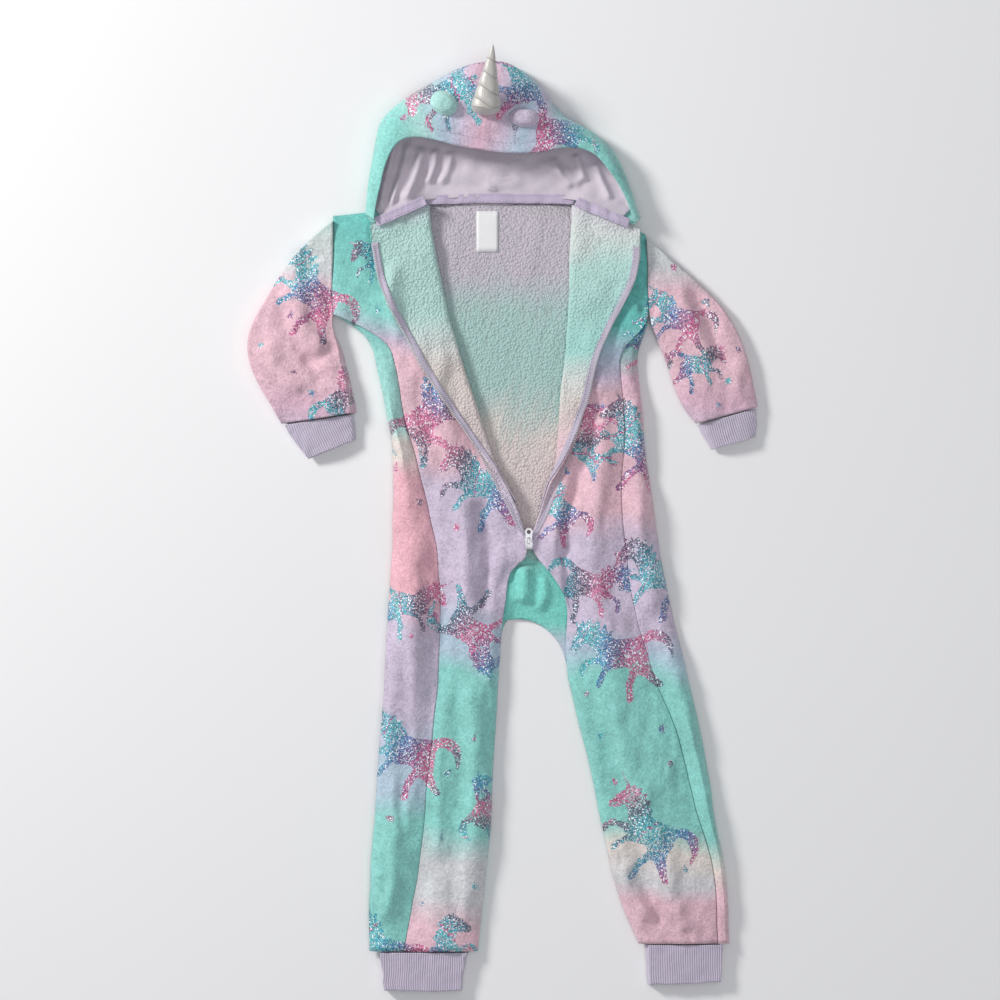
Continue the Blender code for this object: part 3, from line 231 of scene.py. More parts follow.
# The unicorn of the print, rearing and facing left, in millimetres from its hind hoof line
UNICORN = (
    (14, 105), (21, 90), (16, 85), (10, 78), (6, 73), (7, 69), (12, 68), (19, 71), (24, 70), (26, 63),
    (27, 56), (20, 55), (12, 57), (5, 51), (2, 43), (6, 42), (10, 48), (16, 50), (24, 47), (27, 43),
    (20, 37), (14, 31), (12, 26), (17, 26), (23, 32), (31, 37), (38, 36), (46, 34), (51, 30), (46, 24),
    (40, 18), (38, 10), (34, 3), (34, 0), (41, 0), (44, 8), (48, 15), (55, 21), (60, 17), (63, 10),
    (67, 3), (69, 0), (76, 0), (73, 7), (71, 15), (70, 23), (72, 31), (75, 38), (76, 45), (83, 46),
    (90, 41), (94, 32), (93, 20), (99, 29), (101, 41), (96, 51), (86, 56), (76, 55), (66, 57), (56, 60),
    (48, 65), (51, 72), (45, 72), (48, 80), (41, 79), (43, 87), (36, 85), (36, 93), (30, 89), (29, 96),
    (25, 91),
)
UNICORN_MIDDLE = (50.0, 50.0)
# Where each unicorn is printed, its size, its turn in degrees, 1 as drawn or -1 mirrored, and where in the
# foil's run of colours it starts
HERDS = (
    ("x", "y", "size", "turn", "facing", "hue"),
    (172, -356, 1.15, -8, 1, 0.00),
    (138, -150, 1.15, 25, 1, 0.35),
    (104, -72, 0.97, -40, -1, 0.65),
    (186, -60, 1.11, 15, 1, 0.10),
    (160, 88, 1.15, -10, 1, 0.20),
    (100, 92, 0.86, 35, -1, 0.80),
    (70, 14, 0.85, -20, 1, 0.15),
    (-18, 44, 1.11, 10, 1, 0.05),
    (-84, 122, 1.15, 20, -1, 0.45),
    (-34, -130, 1.04, 170, 1, 0.60),
    (-104, -262, 1.15, 8, 1, 0.30),
    (-104, -95, 0.86, -30, -1, 0.90),
    (-132, -492, 1.11, 0, 1, 0.20),
    (-72, -500, 1.04, 12, -1, 0.25),
    (-212, 262, 1.11, -15, 1, 0.30),
    (-182, 140, 0.84, 20, -1, 0.75),
    (206, 232, 0.86, 10, 1, 0.35),
    (226, 180, 0.70, -25, -1, 0.05),
    (-60, 490, 1.04, 60, 1, 0.95),
    (30, 505, 1.04, -60, 1, 0.10),
    (70, 446, 1.04, -25, -1, 0.30),
    (-134, 300, 0.77, 30, 1, 0.10),
    (170, 200, 0.70, -30, 1, 0.40),
    (-20, -330, 0.77, 40, -1, 0.55),
    (140, -500, 0.84, 10, 1, 0.70),
)
# Where the small stars are printed, and how far their tips reach
STARS = (
    (-274, 201), (-216, 146), (274, 195), (-101, -133), (-126, -342), (-68, -363), (115, -247), (110, 63),
    (-240, 235), (-205, 210), (-236, 170), (236, 250), (262, 160), (250, 132), (-58, 150), (-50, -8),
    (-30, -250), (-60, -290), (-28, -420), (-90, -440), (98, -200), (132, -300), (196, -280), (212, -400),
    (122, -420), (120, 130), (134, -40), (-120, 60), (-92, 20), (70, -110), (-10, -180), (186, -240),
    (-110, 460), (90, 480), (60, 500), (-30, 505), (-140, 240), (-262, 290), (200, 290),
)
STAR_SIZE = 6.4
# The hood's middle seam, and the stitch line above its rim from left to right
HOOD_SEAM_X = -9.0
HOOD_STITCHES = (
    (-136, 452), (-126, 462), (-100, 455), (-74, 447), (-48, 441), (-24, 436), (6, 431), (36, 432),
    (62, 438), (80, 442), (104, 440), (120, 430), (130, 412), (142, 392), (150, 374),
)


# ---- Numbers and noise -------------------------------------------------------------------------------
def linear(colour):
    """A colour given in display values from 0 to 255, as linear light."""
    share = np.array(colour, dtype=float) / 255.0
    return np.where(share <= 0.04045, share / 12.92, ((share + 0.055) / 1.055) ** 2.4)


DYE = {name: linear(colour) for name, colour in DYES.items()}


def smooth(low, high, value):
    """0 below low, 1 above high, and a soft step between them."""
    share = np.clip((value - low) / (high - low), 0.0, 1.0)
    return share * share * (3 - 2 * share)


def corner(i, j, k, seed):
    """A repeatable value from -1 to 1 at each corner of a lattice."""
    mixed = np.sin(i * 127.1 + j * 311.7 + k * 74.7 + seed * 53.3) * 43758.5453
    return 2 * (mixed - np.floor(mixed)) - 1


def noise(points, size, seed):
    """Soft noise from -1 to 1 at each point. size is that of its blobs, one number or one for each axis."""
    place = points / np.array(size, dtype=float)
    cell = np.floor(place)
    share = place - cell
    share = share * share * (3 - 2 * share)
    total = np.zeros(len(points))
    for a in (0, 1):
        for b in (0, 1):
            for c in (0, 1):
                weight = np.ones(len(points))
                for axis, side in enumerate((a, b, c)):
                    weight = weight * (share[:, axis] if side else 1 - share[:, axis])
                total += weight * corner(cell[:, 0] + a, cell[:, 1] + b, cell[:, 2] + c, seed)
    return total


def read(table, name, y):
    """A table's column at each y."""
    place = table[0].index(name)
    keys = np.array([row[0] for row in table[1:]])[::-1]
    values = np.array([row[place] for row in table[1:]])[::-1]
    return np.interp(y, keys, values)


def banded(bands, where):
    """The colour of a set of dyed bands at each place."""
    ordered = sorted(bands)
    keys = np.array([row[0] for row in ordered])
    colours = np.array([DYE[row[1]] for row in ordered])
    return np.stack([np.interp(where, keys, colours[:, c]) for c in range(3)], axis=1)


def line_distance(points, line):
    """Each point's distance from a line in plan, and its place along the line from 0 to 1."""
    line = np.array(line, dtype=float)
    steps = np.linalg.norm(np.diff(line, axis=0), axis=1)
    total = steps.sum()
    best = np.full(len(points), FAR)
    along = np.zeros(len(points))
    done = 0.0
    for start, end, step in zip(line[:-1], line[1:], steps):
        heading = (end - start) / step
        offset = points[:, :2] - start
        run = np.clip(offset @ heading, 0.0, step)
        gap = np.linalg.norm(offset - run[:, None] * heading, axis=1)
        nearer = gap < best
        best = np.where(nearer, gap, best)
        along = np.where(nearer, (done + run) / total, along)
        done += step
    return best, along


def curve(line, per_span=8):
    """A smooth line through the given points in plan."""
    line = np.array(line, dtype=float)
    padded = np.vstack([2 * line[0] - line[1], line, 2 * line[-1] - line[-2]])
    found = []
    for i in range(1, len(padded) - 2):
        p, a, b, q = padded[i - 1], padded[i], padded[i + 1], padded[i + 2]
        square = 2 * p - 5 * a + 4 * b - q
        cube = 3 * a - p - 3 * b + q
        for t in np.linspace(0.0, 1.0, per_span, endpoint=False):
            found.append((2 * a + (b - p) * t + square * t**2 + cube * t**3) / 2)
    found.append(line[-1])
    return np.array(found)


def run_along(line):
    """How far along a line each of its places is."""
    return np.concatenate([[0.0], np.cumsum(np.linalg.norm(np.diff(line, axis=0), axis=1))])


def place_at(line, run, at):
    """The place on a line that is this far along it."""
    return np.array([np.interp(at, run, line[:, k]) for k in (0, 1)])


def headings(line):
    """The way a line heads at each of its places."""
    ahead = np.gradient(line, axis=0)
    return ahead / np.linalg.norm(ahead, axis=1)[:, None]


def fold_height(points, folds):
    """The height that a set of folds adds at each point. A fold fades at both ends and is uneven along."""
    total = np.zeros(len(points))
    for number, (height, half, line) in enumerate(folds):
        line = np.array(line, dtype=float)
        reach = 3 * half
        near = np.all(points[:, :2] > line.min(axis=0) - reach, axis=1)
        near &= np.all(points[:, :2] < line.max(axis=0) + reach, axis=1)
        if not near.any():
            continue
        here = points[near]
        gap, along = line_distance(here, curve(line, 4))
        wander = 1 + 0.35 * noise(here, (30, 30, 400), 40 + number)
        ends = smooth(0.0, 0.16, along) * smooth(0.0, 0.16, 1 - along)
        total[near] += height * np.exp(-((gap / (half * wander)) ** 2)) * ends * (0.8 + 0.3 * wander)
    return total


def settled(points):
    """Where the folds and soft wrinkles of the whole garment move each point: one field, so that layers
    that lie on each other stay apart."""
    upper = smooth(4.0, 10.0, points[:, 2])
    rise = 2.3 * fold_height(points, FOLDS)
    rise += 2.0 * noise(points, (26, 60, 500), 1) + 1.6 * noise(points, (13, 26, 500), 2)
    rise += 0.6 * noise(points, (7, 11, 500), 3)
    floor = smooth(1.4, 2.2, points[:, 2]) * (1 - upper)
    lifted = fold_height(points, FLOOR_FOLDS) + 0.35 * (1 + noise(points, (22, 30, 500), 4))
    moved = points.copy()
    moved[:, 2] += rise * upper + lifted * floor
    side = smooth(2.0, 8.0, points[:, 2])
    moved[:, 0] += side * (0.9 * noise(points, (60, 38, 40), 5) + 0.5 * noise(points, (30, 15, 30), 6))
    moved[:, 1] += side * 0.7 * noise(points, (30, 60, 40), 7)
    return moved


# ---- Meshes ------------------------------------------------------------------------------------------
def new_object(name, vertices, faces, material, body="garment"):
    """A mesh object from millimetre vertices in the layout's places, riding on a body."""
    mesh = bpy.data.meshes.new(name)
    mesh.from_pydata([tuple(v) for v in (np.array(vertices) - SHIFT) * MM], [], [tuple(f) for f in faces])
    shape = bmesh.new()
    shape.from_mesh(mesh)
    bmesh.ops.recalc_face_normals(shape, faces=shape.faces)
    shape.to_mesh(mesh)
    shape.free()
    mesh.shade_smooth()
    mesh.materials.append(material)
    made = placed(name, mesh)
    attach(made, body)
    return made


def cad_shape(node):
    """A CAD node's faces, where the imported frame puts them."""
    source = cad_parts[node]
    shape = bmesh.new()
    shape.from_mesh(source.data)
    bmesh.ops.transform(shape, matrix=source.matrix_world, verts=shape.verts)
    bmesh.ops.remove_doubles(shape, verts=shape.verts, dist=WELD)
    return shape


def placed(name, data):
    """An object in the scene that holds a mesh, a light or a camera."""
    made = bpy.data.objects.new(name, data)
    bpy.context.collection.objects.link(made)
    return made


def worked_in(made):
    """An object with its modifiers worked into its mesh, and no material yet."""
    bpy.context.view_layer.update()
    fine = bpy.data.meshes.new_from_object(made.evaluated_get(bpy.context.evaluated_depsgraph_get()))
    made.modifiers.clear()
    made.data = fine
    made.data.materials.clear()
    return made


def quad_cage(node):
    """A CAD node's faces as a cage: its triangles joined to quads, and its sharp rims marked to stay."""
    shape = cad_shape(node)
    bmesh.ops.join_triangles(
        shape,
        faces=shape.faces,
        angle_face_threshold=math.radians(35),
        angle_shape_threshold=math.radians(80),
    )
    crease = shape.edges.layers.float.new("crease_edge")
    for edge in shape.edges:
        if len(edge.link_faces) == 2 and edge.calc_face_angle() > math.radians(60):
            edge[crease] = 1.0
    mesh = bpy.data.meshes.new(node + "_cage")
    shape.to_mesh(mesh)
    shape.free()
    return mesh


def refined(node, levels):
    """A CAD node's shape as a fine smooth mesh, in an object of its own."""
    made = placed(node + "_cloth", quad_cage(node))
    step = made.modifiers.new("fine", "SUBSURF")
    step.levels = levels
    step.render_levels = levels
    return worked_in(made)


def vertex_rows(thing, field):
    """A field of an object's vertices, such as co or normal, as rows of three."""
    flat = np.empty(len(thing.data.vertices) * 3)
    thing.data.vertices.foreach_get(field, flat)
    return flat.reshape(-1, 3)


def places(thing):
    """An object's vertices in the layout's millimetres."""
    return vertex_rows(thing, "co") / MM + SHIFT


def put_places(thing, points):
    """Moves an object's vertices to places in the layout's millimetres."""
    thing.data.vertices.foreach_set("co", ((points - SHIFT) * MM).reshape(-1))
    thing.data.update()


def number_layer(thing, name, values):
    """Stores a number at each vertex, for the material to read by its name."""
    layer = thing.data.attributes.new(name, "FLOAT", "POINT")
    layer.data.foreach_set("value", np.array(values, dtype=float))


def colour_layer(thing, name, colours):
    """Stores a colour at each vertex, for the material to read by its name."""
    layer = thing.data.attributes.new(name, "FLOAT_COLOR", "POINT")
    full = np.concatenate([colours, np.ones((len(colours), 1))], axis=1)
    layer.data.foreach_set("color", full.reshape(-1))


def dress(thing, node, material, body="garment"):
    """Gives a piece its material, and puts it in its CAD node's stead."""
    thing.data.shade_smooth()
    thing.data.materials.append(material)
    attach(thing, body)
    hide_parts(node)
    return thing


# ---- The print ---------------------------------------------------------------------------------------
def inside_distance(points, outline):
    """Distance to a closed outline in plan, positive inside it."""
    outline = np.array(outline, dtype=float)
    best = np.full(len(points), FAR)
    inside = np.zeros(len(points), dtype=bool)
    for a, b in zip(outline, np.roll(outline, -1, axis=0)):
        edge = b - a
        offset = points - a
        run = np.clip(offset @ edge / max(edge @ edge, 1e-9), 0.0, 1.0)
        best = np.minimum(best, np.linalg.norm(offset - run[:, None] * edge, axis=1))
        if a[1] != b[1]:
            crosses = (a[1] > points[:, 1]) != (b[1] > points[:, 1])
            at_x = a[0] + (points[:, 1] - a[1]) * edge[0] / edge[1]
            inside ^= crosses & (points[:, 0] < at_x)
    return np.where(inside, best, -best)


def star_outline(size, turn):
    """A five-pointed star round the origin."""
    corners = []
    for k in range(10):
        radius = size if k % 2 == 0 else size * 0.45
        angle = math.radians(90 + turn + 36 * k)
        corners.append((radius * math.cos(angle), radius * math.sin(angle)))
    return corners


def print_layers(points):
    """How far inside the print each point is, and the foil's place in its run of colours."""
    depth = np.full(len(points), -20.0)
    hue = np.zeros(len(points))
    outline = curve(UNICORN + UNICORN[:1], 2)[:-1] - np.array(UNICORN_MIDDLE)
    for row in HERDS[1:]:
        x, y, size, turn, facing, start = row
        offset = points[:, :2] - (x, y)
        near = np.linalg.norm(offset, axis=1) < 95 * size
        if not near.any():
            continue
        angle = math.radians(-turn)
        back = np.array(((math.cos(angle), -math.sin(angle)), (math.sin(angle), math.cos(angle))))
        local = offset[near] @ back.T / size
        local[:, 0] *= facing
        found = inside_distance(local, outline) * size
        better = found > depth[near]
        chosen = np.flatnonzero(near)[better]
        depth[chosen] = found[better]
        phase = start + 0.0072 * local[:, 0] - 0.0058 * local[:, 1]
        phase += 0.05 * noise(points[near], (24, 24, 60), 21)
        hue[chosen] = phase[better]
    for number, (x, y) in enumerate(STARS):
        offset = points[:, :2] - (x, y)
        near = np.linalg.norm(offset, axis=1) < STAR_SIZE * 2.5
        if not near.any():
            continue
        size = STAR_SIZE * (0.8 + 0.4 * ((number * 37) % 10) / 10)
        found = inside_distance(offset[near], star_outline(size, (number * 53) % 72))
        better = found > depth[near]
        chosen = np.flatnonzero(near)[better]
        depth[chosen] = found[better]
        hue[chosen] = 0.17 * number
    return depth, hue - np.floor(hue)


def between_legs(points):
    """1 on the part of the back that shows between the legs, which is plain, and 0 elsewhere."""
    x, y = points[:, 0], points[:, 1]
    return smooth(-20, -45, y) * smooth(-150, -115, y) * smooth(-14, 0, x) * smooth(100, 84, x)


def dyed(points, normals, node):
    """The dye and the side of the cloth at each point of a piece: 0 is the plush side, 1 the inside."""
    x, y, z = points[:, 0], points[:, 1], points[:, 2]
    run = y + 13 * noise(points, (75, 60, 200), 11) + 6 * noise(points, (24, 22, 80), 12)
    wrong = np.zeros(len(points))
    if node == "back_panel":
        strip = np.where((x < CENTRE_X)[:, None], banded(LEFT_STRIP, run), banded(RIGHT_STRIP, run))
        wrong = smooth(0.2, 0.5, normals[:, 2]) * (1 - smooth(4.5, 7.5, z)) * smooth(-62, -40, y)
        crotch = between_legs(points)
        dye = banded(BACK_INSIDE, run)
        keep = np.maximum(wrong, crotch * smooth(0.0, 0.3, normals[:, 2]))[:, None]
        return dye * keep + strip * (1 - keep), wrong
    if node.startswith("front"):
        left = node == "front_left"
        side = "left" if left else "right"
        edge = read(LAPELS, "edge_" + side, y)
        seam = read(SEAMS, side, y)
        past = (x - edge) if left else (edge - x)
        wrong = smooth(-0.6, 0.6, past) * smooth(-32, -26, y)
        plain = banded(LEFT_FRONT if left else RIGHT_FRONT, run + (0.25 * (x - seam) if left else 0.0))
        dye = banded(LEFT_LAPEL if left else RIGHT_LAPEL, run)
        return dye * wrong[:, None] + plain * (1 - wrong)[:, None], wrong
    if node.startswith("sleeve"):
        return banded(SLEEVE_BANDS, run), wrong
    return banded(HOOD_BANDS, x + 12 * noise(points, (30, 30, 30), 13)), wrong


def fleece_layers(thing, dye, inside, print_depth, foil_hue):
    """What the fleece material reads at each vertex."""
    colour_layer(thing, "dye", np.clip(dye, 0, 1))
    number_layer(thing, "inside", inside)
    number_layer(thing, "print_depth", print_depth)
    number_layer(thing, "foil_hue", foil_hue)


def cloth_piece(node, material, move=settled):
    """A printed and dyed piece on a CAD node's form."""
    thing = refined(node, CLOTH_LEVELS)
    points = places(thing)
    dye, wrong = dyed(points, vertex_rows(thing, "normal"), node)
    depth, hue = print_layers(points)
    if node == "back_panel":
        depth -= 60 * between_legs(points)
    moved = move(points)
    moved[:, 2] = np.maximum(moved[:, 2], 0.0)
    put_places(thing, moved)
    shade = 1 + 0.05 * noise(points, (12, 12, 12), 14)
    fleece_layers(thing, dye * shade[:, None], wrong, depth * (1 - wrong) + NO_PRINT * wrong, hue)
    return dress(thing, node, material)


# ---- Materials ---------------------------------------------------------------------------------------
def surface(name, **sockets):
    """A Principled material and its tree, shader and object coordinates."""
    made = bpy.data.materials.new(name)
    made.use_nodes = True
    tree = made.node_tree
    shader = tree.nodes["Principled BSDF"]
    for socket, value in sockets.items():
        shader.inputs[socket.replace("_", " ")].default_value = value
    return made, tree, shader, add(tree, "TexCoord").outputs["Object"]


def add(tree, kind, inputs=None, **properties):
    """A shader node with its properties set and its inputs set or linked."""
    made = tree.nodes.new("ShaderNode" + kind)
    for name, value in properties.items():
        setattr(made, name, value)
    for socket, value in (inputs or {}).items():
        if isinstance(value, bpy.types.NodeSocket):
            tree.links.new(value, made.inputs[socket])
        else:
            made.inputs[socket].default_value = value
    return made


def calc(tree, operation, first, second=0.0, third=0.0):
    """A sum or other calculation on up to three numbers."""
    return add(tree, "Math", {0: first, 1: second, 2: third}, operation=operation).outputs[0]


def sum_of(tree, start, *parts):
    """A number plus some others, each times its share."""
    total = start
    for value, share in parts:
        total = calc(tree, "MULTIPLY_ADD", value, share, total)
    return total


def ranged(tree, value, low, high, to_low=0.0, to_high=1.0, kind="SMOOTHSTEP"):
    """A number carried from one range to another, and held within it."""
    sockets = {"Value": value, "From Min": low, "From Max": high, "To Min": to_low, "To Max": to_high}
    return add(tree, "MapRange", sockets, interpolation_type=kind).outputs[0]


def mixed(tree, share, first, second, how="MIX"):
    """Two colours mixed by the share of the second."""
    return add(tree, "Mix", {0: share, 6: first, 7: second}, data_type="RGBA", blend_type=how).outputs[2]


def grain(tree, where, scale, detail, roughness):
    """Fine noise from 0 to 1, with its scale in blobs to the metre."""
    sockets = {"Vector": where, "Scale": scale, "Detail": detail, "Roughness": roughness}
    return add(tree, "TexNoise", sockets).outputs["Fac"]


def cells(tree, where, scale):
    """Small cells: the distance to each one's middle, and a colour of chance for each."""
    return add(tree, "TexVoronoi", {"Vector": where, "Scale": scale}, feature="F1")


def weave(tree, where, scale, way, distortion=0.0):
    """Fine even bands, as of threads."""
    sockets = {"Vector": where, "Scale": scale, "Distortion": distortion}
    return add(tree, "TexWave", sockets, bands_direction=way).outputs["Fac"]


def stretched(tree, where, scale):
    """Coordinates scaled along each axis."""
    return add(tree, "Mapping", {"Vector": where, "Scale": scale}).outputs[0]


def shaded(tree, colour, value):
    """A colour made lighter or darker by a number."""
    grey = add(tree, "CombineColor", {0: value, 1: value, 2: value}).outputs[0]
    return mixed(tree, 1.0, colour, grey, "MULTIPLY")


def tint(colour):
    """A colour given in display values, as a shader takes it."""
    return (*linear(colour), 1.0)


def ramp(tree, value, stops):
    """A run of colours read at a number from 0 to 1."""
    made = add(tree, "ValToRGB", {"Fac": value})
    band = made.color_ramp
    for end in (0, -1):
        band.elements[end].position = stops[end][0]
        band.elements[end].color = tint(stops[end][1])
    for position, colour in stops[1:-1]:
        band.elements.new(position).color = tint(colour)
    return made.outputs["Color"]


def bumped(tree, shader, height, distance, strength):
    """Gives a material its small relief."""
    sockets = {"Height": height, "Distance": distance, "Strength": strength}
    tree.links.new(add(tree, "Bump", sockets).outputs[0], shader.inputs["Normal"])


def painted(tree, shader, colour, light):
    """Gives a material its colour, made lighter or darker by a number."""
    tree.links.new(shaded(tree, colour, light), shader.inputs["Base Color"])


# The foil's run of colours
FOIL = (
    (0.00, (60, 168, 190)),
    (0.16, (92, 196, 200)),
    (0.30, (70, 130, 186)),
    (0.42, (120, 98, 150)),
    (0.55, (206, 92, 146)),
    (0.68, (224, 128, 168)),
    (0.80, (118, 100, 130)),
    (0.90, (84, 96, 120)),
    (1.00, (60, 168, 190)),
)


def fleece_material():
    """Plush fleece: dyed pile on its right side, curly on its inside, with a broken glitter foil print and
    painted glints.
    """
    made, tree, shader, where = surface("plush_fleece", Sheen_Weight=0.35, Sheen_Roughness=0.5)
    dye = add(tree, "Attribute", attribute_name="dye").outputs["Color"]
    inside = add(tree, "Attribute", attribute_name="inside").outputs["Fac"]
    depth = add(tree, "Attribute", attribute_name="print_depth").outputs["Fac"]
    hue = add(tree, "Attribute", attribute_name="foil_hue").outputs["Fac"]
    pile = grain(tree, where, 330.0, 3.0, 0.75)
    tufts = grain(tree, where, 120.0, 3.0, 0.65)
    patches = grain(tree, stretched(tree, where, (1.0, 0.5, 1.0)), 34.0, 3.0, 0.55)
    plush = shaded(tree, dye, sum_of(tree, 0.12, (pile, 0.95), (tufts, 0.50), (patches, 0.36)))
    curl = cells(tree, where, 360.0).outputs["Distance"]
    # Painted shade: the inside is darker between its curls and lighter on their tips, following their
    # relief.
    curly = shaded(tree, dye, sum_of(tree, 1.06, (curl, -0.42), (pile, 0.28)))
    wrong = mixed(tree, 0.16, curly, (0.80, 0.76, 0.74, 1.0))
    ground = mixed(tree, inside, plush, wrong)

    dots = cells(tree, where, 720.0)
    dot = ranged(tree, dots.outputs["Distance"], 0.76, 0.56)
    chance = add(tree, "SeparateColor", {0: dots.outputs["Color"]}).outputs
    ragged = calc(tree, "MULTIPLY_ADD", grain(tree, where, 190.0, 2.0, 0.7), 4.4, -2.2)
    worn = grain(tree, where, 70.0, 3.0, 0.6)
    area = ranged(tree, calc(tree, "ADD", depth, ragged), -0.5, 0.7)
    worn_away = ranged(tree, worn, 0.26, 0.38)
    foil = calc(tree, "MULTIPLY", calc(tree, "MULTIPLY", area, dot), worn_away)
    turn = calc(tree, "FRACT", calc(tree, "MULTIPLY_ADD", chance[0], 0.16, hue))
    tone = shaded(tree, ramp(tree, turn, FOIL), calc(tree, "MULTIPLY_ADD", chance[1], 0.75, 0.50))
    # Painted highlight: a few foil dots turn near-white, as glints of light on the glitter.
    painted_glint_share = ranged(tree, chance[2], 0.86, 0.90)
    glitter = mixed(tree, painted_glint_share, tone, (0.92, 0.96, 1.0, 1.0))
    tree.links.new(mixed(tree, foil, ground, glitter), shader.inputs["Base Color"])
    tree.links.new(calc(tree, "MULTIPLY", foil, 0.35), shader.inputs["Metallic"])
    tree.links.new(ranged(tree, foil, 0.0, 1.0, 0.95, 0.38), shader.inputs["Roughness"])
    nap = sum_of(tree, pile, (tufts, 0.8))
    boucle = sum_of(tree, 1.0, (pile, 0.5), (curl, -1.0))
    nap = sum_of(tree, nap, (inside, calc(tree, "SUBTRACT", boucle, nap)))
    bumped(tree, shader, nap, 0.0016, 0.85)
    return made


def jersey_material():
    """Smooth brushed jersey, with a very fine knit and soft lighter patches."""
    looks = {"Sheen_Weight": 0.25, "Sheen_Roughness": 0.55, "Roughness": 0.9}
    made, tree, shader, where = surface("brushed_jersey", **looks)
    patches = grain(tree, where, 26.0, 3.0, 0.6)
    nap = grain(tree, where, 520.0, 3.0, 0.7)
    base = mixed(tree, patches, tint((196, 186, 200)), tint((210, 202, 210)))
    painted(tree, shader, base, sum_of(tree, 0.80, (patches, 0.22), (nap, 0.22)))
    bumped(tree, shader, nap, 0.0006, 0.6)
    return made


def rib_material():
    """Rib knit, its ribs set by a distance across the piece that the mesh carries."""
    made, tree, shader, where = surface("rib_knit", Sheen_Weight=0.3, Sheen_Roughness=0.5, Roughness=0.92)
    across = add(tree, "Attribute", attribute_name="across").outputs["Fac"]
    rib = calc(tree, "SINE", calc(tree, "MULTIPLY", across, 2 * math.pi / RIB_PITCH))
    nap = grain(tree, where, 600.0, 3.0, 0.7)
    patches = grain(tree, where, 60.0, 2.0, 0.5)
    light = sum_of(tree, 0.80, (nap, 0.34), (rib, 0.055), (patches, 0.10))
    painted(tree, shader, tint((196, 187, 206)), light)
    bumped(tree, shader, sum_of(tree, rib, (nap, 0.7)), 0.0005, 0.7)
    return made


def tape_material(name, colour):
    """Woven tape: fine diagonal ribs, slightly fuzzy."""
    made, tree, shader, where = surface(name, Sheen_Weight=0.15, Roughness=0.85)
    twill = weave(tree, where, 260.0, "DIAGONAL", 1.2)
    nap = grain(tree, where, 480.0, 2.0, 0.6)
    patches = grain(tree, where, 90.0, 2.0, 0.6)
    light = sum_of(tree, 0.72, (nap, 0.2), (twill, 0.14), (patches, 0.16))
    painted(tree, shader, tint(colour), light)
    bumped(tree, shader, calc(tree, "ADD", twill, nap), 0.0003, 0.7)
    return made


def satin_material():
    """The horn's cream satin with a silvery sheen and fine threads along it."""
    made, tree, shader, where = surface("horn_satin", Sheen_Weight=0.3, Roughness=0.38, Metallic=0.12)
    threads = grain(tree, stretched(tree, where, (1.0, 0.16, 0.5)), 900.0, 2.0, 0.6)
    patches = grain(tree, where, 70.0, 2.0, 0.6)
    base = mixed(tree, patches, tint((206, 202, 194)), tint((182, 180, 180)))
    painted(tree, shader, base, sum_of(tree, 0.72, (patches, 0.16), (threads, 0.3)))
    tree.links.new(ranged(tree, threads, 0.3, 0.7, 0.32, 0.52, "LINEAR"), shader.inputs["Roughness"])
    bumped(tree, shader, threads, 0.0004, 0.5)
    return made


def metal_material(name, colour, roughness, metallic):
    """Metal or moulded plastic, faintly brushed and unevenly worn."""
    made, tree, shader, where = surface(name, Metallic=metallic)
    wear = grain(tree, where, 900.0, 3.0, 0.6)
    brushed = grain(tree, stretched(tree, where, (1.0, 0.1, 1.0)), 2600.0, 2.0, 0.5)
    painted(tree, shader, tint(colour), sum_of(tree, 0.86, (brushed, 0.12), (wear, 0.16)))
    tree.links.new(ranged(tree, wear, 0.3, 0.7, roughness, roughness + 0.16), shader.inputs["Roughness"])
    bumped(tree, shader, brushed, 0.0001, 0.4)
    return made


def thread_material(name, colour):
    """Sewing thread, with its twist."""
    made, tree, shader, where = surface(name, Roughness=0.7, Sheen_Weight=0.2)
    ply = weave(tree, where, 900.0, "DIAGONAL")
    painted(tree, shader, tint(colour), sum_of(tree, 0.78, (ply, 0.3)))
    bumped(tree, shader, ply, 0.0001, 0.6)
    return made


def label_material():
    """White woven label: a fine satin weave, a little grey in soft random blotches."""
    made, tree, shader, where = surface("woven_label", Roughness=0.6, Sheen_Weight=0.1)
    satin = weave(tree, where, 520.0, "Y")
    grey_blotches = grain(tree, where, 80.0, 2.0, 0.5)
    painted(tree, shader, tint((240, 240, 242)), sum_of(tree, 0.88, (grey_blotches, 0.08), (satin, 0.06)))
    bumped(tree, shader, satin, 0.0001, 0.5)
    return made


# ---- Pieces ------------------------------------------------------------------------------------------
def hood_moved(points):
    """Soft dents of the hood's outside, a groove above its rim, and one down its middle seam."""
    moved = points.copy()
    groove = line_distance(points, curve(HOOD_STITCHES))[0]
    high = smooth(12.0, 26.0, points[:, 2])
    rise = -1.1 * np.exp(-((groove / 2.6) ** 2)) * high
    rise += 1.3 * noise(points, (34, 26, 60), 31) * high + 0.5 * noise(points, (13, 11, 30), 32) * high
    seam = np.exp(-(((points[:, 0] - HOOD_SEAM_X) / 2.2) ** 2)) * smooth(415, 430, points[:, 1])
    rise -= 0.9 * seam * high
    moved[:, 2] += rise
    side = smooth(4.0, 12.0, points[:, 2])
    moved[:, 0] += side * 1.2 * noise(points, (40, 24, 18), 33)
    moved[:, 1] += side * 1.2 * noise(points, (24, 40, 18), 34)
    return moved


def lining_moved(points):
    """The lining's folds and gathers, which rise from the hood behind it."""
    moved = points.copy()
    rise = 2.2 * fold_height(points, LINING_FOLDS)
    rise += 1.3 * (1 + noise(points, (16, 12, 60), 35)) + 0.5 * noise(points, (8, 7, 60), 36)
    inner = smooth(336, 352, points[:, 1]) * smooth(26, 18, points[:, 2])
    moved[:, 2] += rise * inner
    return moved


